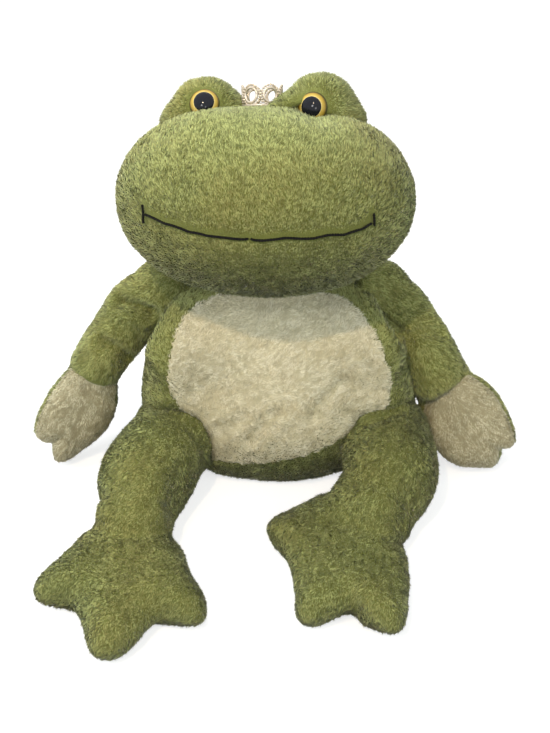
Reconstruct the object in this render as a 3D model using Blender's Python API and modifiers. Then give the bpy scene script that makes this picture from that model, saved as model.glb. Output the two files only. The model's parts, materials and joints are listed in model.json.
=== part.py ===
"""A seated plush frog: stuffed head, torso, arms, legs and webbed feet, safety eyes and a ring crown.

Metres, +Z up, the face looks along -Y, and the origin lies in the middle of the seat's flat underside.
Left and right are those of someone who looks at the frog's face, so left is -X.
"""

import math

import bmesh
import bpy
from mathutils import Euler, Matrix, Vector
from mathutils.bvhtree import BVHTree

# Clearances
GAP = 0.0003  # between pieces that touch
SWING_GAP = 0.0005  # between a ball and its socket
OVERRUN = 0.004  # how far a cutter passes through
WELD = 0.00001  # points nearer than this are one

# Torso
TORSO_HALF_WIDTH = 0.081
TORSO_HALF_DEPTH = 0.056
TORSO_OFFSET = 0.003  # the torso's middle to the right of the origin
TORSO_HEIGHT = 0.119
TORSO_LEAN = 0.016  # how far the top lies behind the seat
TORSO_SETBACK = 0.010  # the seat's middle behind the origin
SEAT_FLAT = 0.0005  # depth that is cut flat
# height, width, depth and lean of each ring, as shares of the four sizes above
TORSO_RING_SHARES = (
    (-0.004, 0.58, 0.58, -0.05),
    (-0.004, 0.86, 0.84, -0.03),
    (0.170, 1.04, 1.03, 0.00),
    (0.400, 1.03, 1.04, 0.05),
    (0.640, 0.94, 0.96, 0.35),
    (0.830, 0.78, 0.76, 0.75),
    (0.960, 0.50, 0.48, 1.00),
)
TORSO_SIDES = 8

# Belly patch, sewn on the torso's front
BELLY_THICKNESS = 0.0014
BELLY_HALF_WIDTH = 0.065
BELLY_TOP_HALF_WIDTH = 0.040
BELLY_BOTTOM_HALF_WIDTH = 0.026
BELLY_BOTTOM = 0.014
BELLY_TOP = 0.108
BELLY_WIDEST_SHARE = 0.40
BELLY_EDGE_STEPS = 8

# Head, in its own frame: the middle of the head, face along -Y
HEAD_HALF_WIDTH = 0.081
HEAD_HALF_DEPTH = 0.059
HEAD_HALF_HEIGHT = 0.0535
HEAD_PITCH = math.radians(-28)
HEAD_YAW = math.radians(-4)
HEAD_ROLL = math.radians(-1.5)
HEAD_SIDES = 8
# height, width, depth and forward reach of each ring, as shares of the half sizes
HEAD_RING_SHARES = (
    (-0.86, 0.56, 0.56, -0.06),
    (-0.50, 0.92, 0.90, -0.03),
    (-0.02, 1.05, 1.04, 0.00),
    (0.48, 0.97, 0.95, 0.00),
    (0.86, 0.68, 0.64, 0.02),
)

# Neck, and how far the head's middle lies from it as shares of the head's half sizes
NECK_LEAN_SHARE = 0.875
NECK_HEIGHT_SHARE = 0.924
NECK_RADIUS = 0.028
HEAD_OFFSET_SHARES = Vector((-0.068, -0.475, 1.308))

# Eye mounds, placed from the head's middle as shares of its half sizes
MOUND_RADIUS = 0.0188
MOUND_SHARES = {"left": Vector((-0.417, 0.153, 0.897)), "right": Vector((0.372, 0.153, 0.953))}
EYE_AIM = {"left": Vector((0.02, -0.93, 0.33)), "right": Vector((-0.23, -0.97, 0.07))}

# Safety eyes, turned about their own axis
EYE_RADIUS = 0.0083
EYE_FLANGE = 0.0009
EYE_DOME = 0.0042
EYE_SINK = 0.0026  # the flange's back below the mound's round
EYE_ARC_STEPS = 6
PUPIL_RADIUS = 0.0057
PUPIL_RISE = 0.0007
PUPIL_DEPTH = 0.0012
SHANK_RADIUS = 0.0020
SHANK_LENGTH = 0.0090
SHANK_RIB = 0.0003
SHANK_RIBS = 3
WASHER_RADIUS = 0.0050
WASHER_THICKNESS = 0.0012
WASHER_DEPTH = 0.0042
TURN_STEPS = 20

# Mouth, a raised stitched line across the muzzle, in the head's frame
MOUTH_THREAD = 0.0009
MOUTH_HALF_WIDTH = 0.061
MOUTH_MIDDLE_HEIGHT = -0.0165
MOUTH_END_HEIGHT = -0.0050
MOUTH_CURVE = 2.6  # the line stays flat in the middle and rises near its ends
MOUTH_TICK = 0.0045
MOUTH_POINTS = 27

# Ring crown between the eye mounds, in the head's frame
CROWN_SETBACK = 0.004  # behind the head's middle
CROWN_CLEARANCE = 0.0017  # between the ring's middle line and each eye mound
CROWN_LOOPS = 6
CROWN_HEIGHT = 0.0108
CROWN_WIRE = 0.0008
CROWN_BASE = 0.0013
CROWN_LOOP_POINTS = 10
CROWN_FOOT_POINTS = 24
CROWN_LOOP_HALF_ANGLE_SHARE = 0.47

# Arms; the shoulder's place is a share of the torso's half width and height
SHOULDER_RADIUS = 0.0205
SHOULDER_WIDTH_SHARES = {"left": -0.877, "right": 0.778}
SHOULDER_HEIGHT_SHARE = 0.866
ARM_REACH = 0.080  # from the shoulder to the fingers' ends, sideways
ARM_FORWARD = 0.034  # the same towards the front
FINGER_LIFT = 0.0055  # the fingers' ends above the floor
# outward, forward and downward places on the arm, as shares of those reaches
ELBOW_SHARES = {"left": (0.363, 0.118, 0.226), "right": (0.256, 0.147, 0.276)}
WRIST_SHARES = {"left": (0.575, 0.324, 0.441), "right": (0.500, 0.382, 0.505)}
FINGER_SHARES = {"left": (0.963, 0.970, 1.0), "right": (0.988, 1.206, 1.0)}
UPPER_ARM_RADIUS = 0.0204
ELBOW_RADIUS = 0.0180
WRIST_RADIUS = 0.0145
ARM_SIDES = 8
# how far each station lies from the shoulder to the elbow, and from the elbow to the wrist
UPPER_ARM_SHARES = (0.10, 0.60)
FOREARM_SHARE = 0.75

# Hands, flat mittens with two points; the outline is (along, outward) from the wrist
HAND_THICKNESS = 0.0190
HAND_LENGTH = 0.065
HAND_HALF_WIDTH = 0.022
PALM_SPLIT = 0.0020  # the palm's seam in front of the hand's middle plane
PALM_TOP_SHARE = 0.10
HAND_OUTLINE_SHARES = (
    (-0.16, 0.50),
    (0.10, 0.72),
    (0.45, 0.88),
    (0.76, 0.82),
    (0.91, 0.62),
    (0.90, 0.36),
    (0.80, 0.10),
    (0.95, -0.20),
    (1.02, -0.46),
    (0.97, -0.66),
    (0.76, -0.98),
    (0.48, -1.32),
    (0.20, -1.24),
    (-0.06, -0.80),
    (-0.20, -0.40),
)
HAND_RIM_SHARE = 0.62

# Legs; the hip's place is a share of the torso's half width and half depth
HIP_RADIUS = 0.0270
HIP_WIDTH_SHARES = {"left": -0.815, "right": 0.790}
HIP_DEPTH_SHARE = -0.714
HIP_LIFT = math.radians(30)
HIP_DROP = math.radians(20)
HIP_ROOM_STEPS = 5
LEG_LENGTH = {"left": 0.0645, "right": 0.058}  # from hip to ankle
LEG_HEADING = {"left": math.radians(17.4), "right": math.radians(6.7)}  # from straight ahead to -X
THIGH_RADIUS = 0.0268
CALF_RADIUS = 0.0230
ANKLE_RADIUS = 0.0200
KNEE_ASIDE = {"left": -0.0035, "right": 0.0078}  # the knee's bow, towards +X
LEG_SIDES = 8
THIGH_SHARES = (0.15, 0.60)  # places of the thigh's rings from hip to knee
CALF_SHARES = (0.10, 0.60, 0.95)  # places of the calf's rings from knee to ankle

# Feet, flat webbed flippers with three toes; angles from the middle toe, outer toe first on the left foot
FOOT_HEADING = {"left": math.radians(5.5), "right": math.radians(30)}
MIDDLE_TOE = {"left": 0.103, "right": 0.094}
FIRST_TOE = {"left": 0.0745, "right": 0.069}
LAST_TOE = {"left": 0.084, "right": 0.092}
FIRST_TOE_ANGLE = {"left": math.radians(40), "right": math.radians(58)}
LAST_TOE_ANGLE = {"left": math.radians(38), "right": math.radians(33.5)}
WEB_REACH = 0.066
WEB_ANGLE = math.radians(20)
HEEL_REACH = 0.012
FOOT_SIDE_REACH = 0.052
FOOT_THICKNESS = 0.0250
TOE_TIP_HALF_WIDTH = 0.0062
TOE_ROOT_SHARE = 0.86  # where the toe is wider, from the ankle to its tip
TOE_FLARE_SHARE = 1.6  # how much wider it is there
SIDE_REACH_SHARE = 0.7
SIDE_ANGLE = math.radians(32)  # from the outer toes to the foot's sides
HEEL_ANGLE = math.radians(150)
FOOT_RIM_SHARE = 0.66

BALL_SEGMENTS = 20
BALL_RINGS = 10
SIDES = ("left", "right")

COLOURS = {
    "plush": ((0.215, 0.225, 0.075, 1.0), 0.95, 0.0),
    "cream": ((0.640, 0.600, 0.410, 1.0), 0.90, 0.0),
    "iris": ((0.480, 0.330, 0.080, 1.0), 0.18, 0.0),
    "pupil": ((0.008, 0.007, 0.007, 1.0), 0.08, 0.0),
    "washer": ((0.750, 0.740, 0.700, 1.0), 0.45, 0.0),
    "thread": ((0.020, 0.019, 0.018, 1.0), 0.80, 0.0),
    "crown": ((0.690, 0.610, 0.480, 1.0), 0.35, 0.6),
}


def from_torso(width_share, depth_share, height):
    """A place by shares of the torso's half width and half depth from its middle."""
    x = TORSO_OFFSET + TORSO_HALF_WIDTH * width_share
    return Vector((x, TORSO_SETBACK + TORSO_HALF_DEPTH * depth_share, height))


def neck_pivot():
    return Vector((0.0, TORSO_SETBACK + TORSO_LEAN * NECK_LEAN_SHARE, TORSO_HEIGHT * NECK_HEIGHT_SHARE))


def from_head(shares):
    """A length from the head's middle by shares of its half sizes."""
    return Vector((HEAD_HALF_WIDTH * shares.x, HEAD_HALF_DEPTH * shares.y, HEAD_HALF_HEIGHT * shares.z))


def shoulder_place(side):
    return from_torso(SHOULDER_WIDTH_SHARES[side], 0.0, TORSO_HEIGHT * SHOULDER_HEIGHT_SHARE)


def arm_place(side, shares):
    shoulder = shoulder_place(side)
    outward = -ARM_REACH if side == "left" else ARM_REACH
    reach = Vector((outward, -ARM_FORWARD, FINGER_LIFT - shoulder.z))
    return shoulder + Vector((reach.x * shares[0], reach.y * shares[1], reach.z * shares[2]))


def heading_way(turn):
    """A level direction, turned from straight ahead towards -X."""
    return Vector((-math.sin(turn), -math.cos(turn), 0.0))


def hip_place(side):
    return from_torso(HIP_WIDTH_SHARES[side], HIP_DEPTH_SHARE, HIP_RADIUS + GAP)


def ankle_place(side):
    return lying(hip_place(side) + heading_way(LEG_HEADING[side]) * LEG_LENGTH[side], ANKLE_RADIUS)


def clear_scene():
    for obj in list(bpy.data.objects):
        bpy.data.objects.remove(obj, do_unlink=True)


def new_collection(name):
    made = bpy.data.collections.new(name)
    bpy.context.scene.collection.children.link(made)
    return made


def new_material(name):
    colour, roughness, metallic = COLOURS[name]
    made = bpy.data.materials.new(name)
    made.use_nodes = True
    shader = made.node_tree.nodes["Principled BSDF"]
    shader.inputs["Base Color"].default_value = colour
    shader.inputs["Roughness"].default_value = roughness
    shader.inputs["Metallic"].default_value = metallic
    made.diffuse_color = colour
    return made


def place_object(name, mesh, collection, origin, material=None):
    """Links an object whose mesh is given in world places, with its own origin at a pivot."""
    mesh.transform(Matrix.Translation(-origin))
    mesh.shade_smooth()
    obj = bpy.data.objects.new(name, mesh)
    obj.location = origin
    collection.objects.link(obj)
    if material:
        mesh.materials.append(material)
    return obj


def hide_cutter(obj):
    obj.hide_render = True
    obj.display_type = "WIRE"


def boolean(target, cutter, operation="DIFFERENCE"):
    modifier = target.modifiers.new(cutter.name, "BOOLEAN")
    modifier.object = cutter
    modifier.operation = operation
    modifier.solver = "EXACT"


def smooth_cage(obj, levels):
    modifier = obj.modifiers.new("Stuffing", "SUBSURF")
    modifier.levels = levels
    modifier.render_levels = levels


def swell(points_round):
    """How much wider a ring of cage points is than the round surface that it makes."""
    return 6 / (4 + 2 * math.cos(2 * math.pi / points_round))


def loft_mesh(name, rings, first_pole, last_pole):
    """A closed cage through rings of as many points each, with a pole at each end."""
    cage = bmesh.new()
    rows = [[cage.verts.new(point) for point in ring] for ring in rings]
    count = len(rows[0])
    first, last = cage.verts.new(first_pole), cage.verts.new(last_pole)
    for low, high in zip(rows, rows[1:]):
        for step in range(count):
            following = (step + 1) % count
            cage.faces.new((low[step], low[following], high[following], high[step]))
    for step in range(count):
        following = (step + 1) % count
        cage.faces.new((rows[0][following], rows[0][step], first))
        cage.faces.new((rows[-1][step], rows[-1][following], last))
    bmesh.ops.recalc_face_normals(cage, faces=cage.faces)
    mesh = bpy.data.meshes.new(name)
    cage.to_mesh(mesh)
    cage.free()
    return mesh


def level_ring(middle, half_width, half_depth, sides):
    wider = swell(sides)
    turns = [2 * math.pi * step / sides for step in range(sides)]
    return [
        middle + Vector((half_width * wider * math.cos(t), half_depth * wider * math.sin(t), 0.0))
        for t in turns
    ]


def limb_ring(middle, direction, radius, sides):
    """A ring square to the limb's direction."""
    across = direction.cross(Vector((0.0, 0.0, 1.0))).normalized()
    upward = across.cross(direction).normalized()
    wider = radius * swell(sides)
    turns = [2 * math.pi * step / sides for step in range(sides)]
    return [middle + across * wider * math.cos(t) + upward * wider * math.sin(t) for t in turns]


def limb_mesh(name, stations, sides):
    """A tapering stuffed tube through (place, radius) stations."""
    places = [place for place, radius in stations]
    rings = []
    for index, (place, radius) in enumerate(stations):
        before = places[max(index - 1, 0)]
        after = places[min(index + 1, len(places) - 1)]
        rings.append(limb_ring(place, (after - before).normalized(), radius, sides))
    first_way = (places[0] - places[1]).normalized()
    last_way = (places[-1] - places[-2]).normalized()
    first_pole = places[0] + first_way * stations[0][1] / 2
    last_pole = places[-1] + last_way * stations[-1][1] / 2
    return loft_mesh(name, rings, first_pole, last_pole)


def ball_mesh(name, middle, radius, axis):
    """A ball whose poles lie on the joint's axis, so that it turns freely in its socket."""
    form = bmesh.new()
    bmesh.ops.create_uvsphere(form, u_segments=BALL_SEGMENTS, v_segments=BALL_RINGS, radius=radius)
    mesh = bpy.data.meshes.new(name)
    form.to_mesh(mesh)
    form.free()
    turn = Vector((0.0, 0.0, 1.0)).rotation_difference(axis).to_matrix().to_4x4()
    mesh.transform(Matrix.Translation(middle) @ turn)
    return mesh


def puffed_mesh(name, outline, thickness, rim_share, frame):
    """A flat stuffed shape: an outline sewn at its edge and swollen between, laid in the given frame."""
    middle = sum(outline, Vector((0.0, 0.0))) / len(outline)
    rim = [frame @ Vector((p.x, p.y, 0.0)) for p in outline]
    inner = [middle.lerp(p, rim_share) for p in outline]
    half = thickness / 2
    upper = [frame @ Vector((p.x, p.y, half)) for p in inner]
    lower = [frame @ Vector((p.x, p.y, -half)) for p in inner]
    top_pole = frame @ Vector((middle.x, middle.y, half))
    low_pole = frame @ Vector((middle.x, middle.y, -half))
    return loft_mesh(name, [lower, rim, upper], low_pole, top_pole)


def turned_object(name, profile, collection, material=None):
    """A closed solid turned about Z from (radius, height) points that start and end on the axis."""
    mesh = bpy.data.meshes.new(name)
    edges = [(index, index + 1) for index in range(len(profile) - 1)]
    mesh.from_pydata([(radius, 0.0, height) for radius, height in profile], edges, [])
    obj = bpy.data.objects.new(name, mesh)
    collection.objects.link(obj)
    screw = obj.modifiers.new("Turn", "SCREW")
    screw.steps = TURN_STEPS
    screw.render_steps = TURN_STEPS
    screw.use_merge_vertices = True
    screw.merge_threshold = WELD
    if material:
        mesh.materials.append(material)
    return obj


def aimed(direction, place):
    """A frame at the place whose Z looks along the direction."""
    turn = direction.normalized().to_track_quat("Z", "Y").to_matrix().to_4x4()
    return Matrix.Translation(place) @ turn


def new_cylinder(name, radius, low, high, collection):
    form = bmesh.new()
    bmesh.ops.create_cone(
        form, cap_ends=True, segments=TURN_STEPS, radius1=radius, radius2=radius, depth=high - low
    )
    mesh = bpy.data.meshes.new(name)
    form.to_mesh(mesh)
    form.free()
    mesh.transform(Matrix.Translation(Vector((0.0, 0.0, (low + high) / 2))))
    obj = bpy.data.objects.new(name, mesh)
    collection.objects.link(obj)
    hide_cutter(obj)
    return obj


def torso_mesh(name, grow):
    rings = []
    for height, width, depth, lean in TORSO_RING_SHARES:
        middle = Vector((TORSO_OFFSET, TORSO_SETBACK + TORSO_LEAN * lean, TORSO_HEIGHT * height))
        half_width = TORSO_HALF_WIDTH * width + grow
        rings.append(level_ring(middle, half_width, TORSO_HALF_DEPTH * depth + grow, TORSO_SIDES))
    low_pole = Vector((TORSO_OFFSET, TORSO_SETBACK, -SEAT_FLAT - grow))
    top_pole = Vector((TORSO_OFFSET, TORSO_SETBACK + TORSO_LEAN, TORSO_HEIGHT + grow))
    return loft_mesh(name, rings, low_pole, top_pole)


def head_mesh(name, grow):
    rings = []
    for height, width, depth, forward in HEAD_RING_SHARES:
        middle = Vector((0.0, HEAD_HALF_DEPTH * forward, (HEAD_HALF_HEIGHT + grow) * height))
        half_width = HEAD_HALF_WIDTH * width + grow
        rings.append(level_ring(middle, half_width, HEAD_HALF_DEPTH * depth + grow, HEAD_SIDES))
    reach = HEAD_HALF_HEIGHT + grow
    return loft_mesh(name, rings, Vector((0.0, 0.0, -reach)), Vector((0.0, 0.0, reach)))


def head_turn():
    return Euler((HEAD_PITCH, HEAD_ROLL, HEAD_YAW), "XYZ").to_matrix()


def surface_of(obj):
    """The evaluated surface, in the object's own frame, for laying stitching and trim on it."""
    bpy.context.view_layer.update()
    return BVHTree.FromObject(obj, bpy.context.evaluated_depsgraph_get())


def make_torso(parts, cutters, plush, cream):
    torso = place_object("torso", torso_mesh("torso", 0.0), parts, Vector(), plush)
    smooth_cage(torso, 2)

    floor_size = 4 * TORSO_HALF_WIDTH
    floor = bmesh.new()
    bmesh.ops.create_cube(floor, size=floor_size)
    floor_mesh = bpy.data.meshes.new("floor_cut")
    floor.to_mesh(floor_mesh)
    floor.free()
    floor_cut = place_object("floor_cut", floor_mesh, cutters, Vector())
    floor_cut.location.z = -floor_size / 2
    hide_cutter(floor_cut)
    boolean(torso, floor_cut)

    patch = place_object(
        "belly_patch", torso_mesh("belly_patch", GAP + BELLY_THICKNESS), parts, Vector(), cream
    )
    smooth_cage(patch, 2)
    torso_skin = place_object("torso_skin", torso_mesh("torso_skin", GAP), cutters, Vector())
    smooth_cage(torso_skin, 2)
    hide_cutter(torso_skin)
    boolean(patch, torso_skin)
    outline = belly_outline()
    stencil_mesh = bpy.data.meshes.new("belly_stencil")
    stencil = bmesh.new()
    front = -2 * TORSO_HALF_DEPTH
    face = stencil.faces.new([stencil.verts.new((x, front, z)) for x, z in outline])
    grown = bmesh.ops.extrude_face_region(stencil, geom=[face])
    moved = [item for item in grown["geom"] if isinstance(item, bmesh.types.BMVert)]
    bmesh.ops.translate(stencil, verts=moved, vec=(0.0, -front, 0.0))
    bmesh.ops.recalc_face_normals(stencil, faces=stencil.faces)
    stencil.to_mesh(stencil_mesh)
    stencil.free()
    belly_stencil = place_object("belly_stencil", stencil_mesh, cutters, Vector())
    hide_cutter(belly_stencil)
    boolean(patch, belly_stencil, "INTERSECT")
    return torso, torso_skin, patch


def belly_outline():
    """The patch seen from the front, as an egg with a narrower top."""
    height = BELLY_TOP - BELLY_BOTTOM
    widest = BELLY_BOTTOM + height * BELLY_WIDEST_SHARE
    stations = (
        (BELLY_BOTTOM_HALF_WIDTH, BELLY_BOTTOM),
        (BELLY_HALF_WIDTH, widest),
        (BELLY_TOP_HALF_WIDTH, BELLY_TOP),
    )
    right = []
    for index in range(2):
        (width_a, height_a), (width_b, height_b) = stations[index], stations[index + 1]
        for step in range(BELLY_EDGE_STEPS):
            share = step / BELLY_EDGE_STEPS
            bend = math.sin(share * math.pi / 2) if index == 0 else 1 - math.cos(share * math.pi / 2)
            width = width_a + (width_b - width_a) * bend
            right.append((width, height_a + (height_b - height_a) * share))
    right.append(stations[-1])
    left = [(-x, z) for x, z in reversed(right)]
    return [(TORSO_OFFSET + x, z) for x, z in right + left]


def make_head(parts, cutters, plush):
    """The head hangs on an empty at the neck, turned as the head is."""
    turn = head_turn()
    joint = bpy.data.objects.new("neck_joint", None)
    joint.location = neck_pivot()
    joint.rotation_euler = turn.to_euler()
    parts.objects.link(joint)
    middle = turn.inverted() @ from_head(HEAD_OFFSET_SHARES)

    def hang(obj, matrix=None):
        obj.parent = joint
        obj.matrix_local = Matrix.Translation(middle) @ (matrix or Matrix.Identity(4))
        return obj

    head = hang(place_object("head", head_mesh("head", 0.0), parts, Vector(), plush))
    smooth_cage(head, 2)
    head_skin = hang(place_object("head_skin", head_mesh("head_skin", GAP), cutters, Vector()))
    smooth_cage(head_skin, 2)
    hide_cutter(head_skin)
    return head, head_skin, hang


def make_eye(side, parts, cutters, head, head_skin, hang, materials):
    place = from_head(MOUND_SHARES[side])
    aim = EYE_AIM[side].normalized()
    mound_mesh = ball_mesh(f"eye_mound_{side}", place, MOUND_RADIUS, aim)
    mound = hang(place_object(f"eye_mound_{side}", mound_mesh, parts, Vector(), materials["plush"]))
    boolean(mound, head_skin)
    seat = aimed(aim, place + aim * (MOUND_RADIUS - EYE_SINK))

    washer_floor = -WASHER_DEPTH - WASHER_THICKNESS - GAP
    cuts = (
        (f"eye_seat_{side}", EYE_RADIUS + GAP, -GAP, EYE_SINK + OVERRUN),
        (f"shank_hole_{side}", SHANK_RADIUS + SHANK_RIB + GAP, -SHANK_LENGTH - GAP, OVERRUN),
        (f"washer_room_{side}", WASHER_RADIUS + GAP, washer_floor, -WASHER_DEPTH + GAP),
    )
    for name, radius, low, high in cuts:
        cutter = hang(new_cylinder(name, radius, low, high, cutters), seat)
        boolean(mound, cutter)
        boolean(head, cutter)

    hang(turned_object(f"eye_{side}", eye_profile(), parts, materials["iris"]), seat)
    hang(turned_object(f"pupil_{side}", pupil_profile(), parts, materials["pupil"]), seat)
    hang(washer_object(f"eye_washer_{side}", parts, materials["washer"]), seat)


def dome_height(radius):
    """Height of the eye's dome above its flange at a radius, on one round arc."""
    sphere = (EYE_RADIUS**2 + EYE_DOME**2) / (2 * EYE_DOME)
    return EYE_FLANGE + EYE_DOME - sphere + math.sqrt(sphere**2 - radius**2)


def eye_profile():
    """From the pupil's recess over the dome and flange, then down the ribbed shank to its end."""
    recess_floor = dome_height(PUPIL_RADIUS + GAP) - PUPIL_DEPTH
    profile = [(0.0, recess_floor), (PUPIL_RADIUS + GAP, recess_floor)]
    first = PUPIL_RADIUS + GAP
    for step in range(EYE_ARC_STEPS + 1):
        radius = first + (EYE_RADIUS - first) * step / EYE_ARC_STEPS
        profile.append((radius, dome_height(radius)))
    profile.append((EYE_RADIUS, 0.0))
    profile.append((SHANK_RADIUS, 0.0))
    below_washer = WASHER_DEPTH + WASHER_THICKNESS + GAP
    rib_pitch = (SHANK_LENGTH - below_washer) / SHANK_RIBS
    profile.append((SHANK_RADIUS, -below_washer))
    for rib in range(SHANK_RIBS):
        top = -below_washer - rib * rib_pitch
        profile.append((SHANK_RADIUS + SHANK_RIB, top - rib_pitch / 4))
        profile.append((SHANK_RADIUS, top - rib_pitch))
    profile.append((0.0, -SHANK_LENGTH))
    return profile


def pupil_profile():
    floor = dome_height(PUPIL_RADIUS + GAP) - PUPIL_DEPTH + GAP
    rim = dome_height(PUPIL_RADIUS)
    rise = EYE_FLANGE + EYE_DOME + PUPIL_RISE - rim
    profile = []
    for step in range(EYE_ARC_STEPS + 1):
        turn = math.pi / 2 * step / EYE_ARC_STEPS
        profile.append((PUPIL_RADIUS * math.sin(turn), rim + rise * math.cos(turn)))
    profile.append((PUPIL_RADIUS, floor))
    profile.append((0.0, floor))
    return profile


def washer_object(name, parts, material):
    """The lock washer, a ring pushed up the shank behind the fabric."""
    low, high = -WASHER_DEPTH - WASHER_THICKNESS, -WASHER_DEPTH
    bore = SHANK_RADIUS + GAP
    profile = [(bore, high), (WASHER_RADIUS, high), (WASHER_RADIUS, low), (bore, low), (bore, high)]
    return turned_object(name, profile, parts, material)


def tube_mesh(name, points, radius, cyclic, resolution):
    """A round wire along points, with filled caps, made a welded mesh."""
    curve = bpy.data.curves.new(name, "CURVE")
    curve.dimensions = "3D"
    curve.bevel_depth = radius
    curve.bevel_resolution = resolution
    curve.use_fill_caps = not cyclic
    spline = curve.splines.new("POLY")
    spline.points.add(len(points) - 1)
    for target, point in zip(spline.points, points):
        target.co = (*point, 1.0)
    spline.use_cyclic_u = cyclic
    holder = bpy.data.objects.new(name, curve)
    bpy.context.scene.collection.objects.link(holder)
    bpy.context.view_layer.update()
    mesh = bpy.data.meshes.new_from_object(holder.evaluated_get(bpy.context.evaluated_depsgraph_get()))
    bpy.data.objects.remove(holder, do_unlink=True)
    form = bmesh.new()
    form.from_mesh(mesh)
    bmesh.ops.remove_doubles(form, verts=form.verts, dist=WELD)
    bmesh.ops.recalc_face_normals(form, faces=form.faces)
    form.to_mesh(mesh)
    form.free()
    return mesh


def make_mouth(parts, cutters, head, hang, material):
    """The stitched line lies on the muzzle: its points are dropped onto the head's surface."""
    surface = surface_of(head)
    lift = MOUTH_THREAD + GAP

    def on_muzzle(x, height):
        start = Vector((x, -2 * HEAD_HALF_DEPTH, height))
        hit, normal, _, _ = surface.ray_cast(start, Vector((0.0, 1.0, 0.0)))
        return hit + normal * lift

    line = []
    for step in range(MOUTH_POINTS):
        share = 2 * step / (MOUTH_POINTS - 1) - 1
        height = MOUTH_MIDDLE_HEIGHT + (MOUTH_END_HEIGHT - MOUTH_MIDDLE_HEIGHT) * abs(share) ** MOUTH_CURVE
        line.append(on_muzzle(MOUTH_HALF_WIDTH * share, height))
    mouth_mesh = tube_mesh("mouth_stitch", line, MOUTH_THREAD, False, 1)
    mouth = hang(place_object("mouth_stitch", mouth_mesh, parts, Vector(), material))
    for side, sign in (("left", -1), ("right", 1)):
        x = MOUTH_HALF_WIDTH * sign
        tick = [on_muzzle(x, MOUTH_END_HEIGHT + MOUTH_TICK * share) for share in (-1, 0, 1)]
        tick_mesh = tube_mesh(f"mouth_tick_{side}", tick, MOUTH_THREAD, False, 1)
        end = hang(place_object(f"mouth_tick_{side}", tick_mesh, cutters, Vector()))
        hide_cutter(end)
        boolean(mouth, end, "UNION")


def make_crown(parts, cutters, head, hang, material):
    """A ring with upright loops round it; its foot lies on the head's top."""
    surface = surface_of(head)
    left, right = (from_head(MOUND_SHARES[side]) for side in ("left", "right"))
    middle = (left.x + right.x) / 2
    ring_radius = (right.x - left.x) / 2 - MOUND_RADIUS - CROWN_CLEARANCE

    def on_top(x, y):
        start = Vector((x, y, 2 * HEAD_HALF_HEIGHT))
        hit, _, _, _ = surface.ray_cast(start, Vector((0.0, 0.0, -1.0)))
        return hit.z

    def on_ring(angle):
        x = middle + ring_radius * math.cos(angle)
        y = CROWN_SETBACK + ring_radius * math.sin(angle)
        return Vector((x, y, on_top(x, y) + CROWN_BASE + GAP))

    foot = [on_ring(2 * math.pi * step / CROWN_FOOT_POINTS) for step in range(CROWN_FOOT_POINTS)]
    crown_mesh = tube_mesh("crown", foot, CROWN_BASE, True, 1)
    crown = hang(place_object("crown", crown_mesh, parts, Vector(), material))
    for index in range(CROWN_LOOPS):
        middle_angle = 2 * math.pi * (index + 0.5) / CROWN_LOOPS + math.pi / 2
        half_angle = 2 * math.pi / CROWN_LOOPS * CROWN_LOOP_HALF_ANGLE_SHARE
        loop = []
        for step in range(CROWN_LOOP_POINTS):
            turn = 2 * math.pi * step / CROWN_LOOP_POINTS
            rise = CROWN_HEIGHT / 2 * (1 - math.cos(turn))
            loop.append(on_ring(middle_angle + half_angle * math.sin(turn)) + Vector((0.0, 0.0, rise)))
        loop_mesh = tube_mesh(f"crown_loop_{index}", loop, CROWN_WIRE, True, 1)
        part = hang(place_object(f"crown_loop_{index}", loop_mesh, cutters, Vector()))
        hide_cutter(part)
        boolean(crown, part, "UNION")


def hand_frame(side):
    """X runs from the wrist to the fingers, Y outward across the hand and Z out of the palm."""
    wrist = arm_place(side, WRIST_SHARES[side])
    along = (arm_place(side, FINGER_SHARES[side]) - wrist).normalized()
    outward = -1.0 if side == "left" else 1.0
    across = Vector((0.0, -1.0, 0.0)).cross(along).normalized()
    if across.x * outward < 0:
        across = -across
    palm = along.cross(across)
    if palm.y > 0:
        palm = -palm
    turn = Matrix((along, across, palm)).transposed().to_4x4()
    return Matrix.Translation(wrist) @ turn


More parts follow.
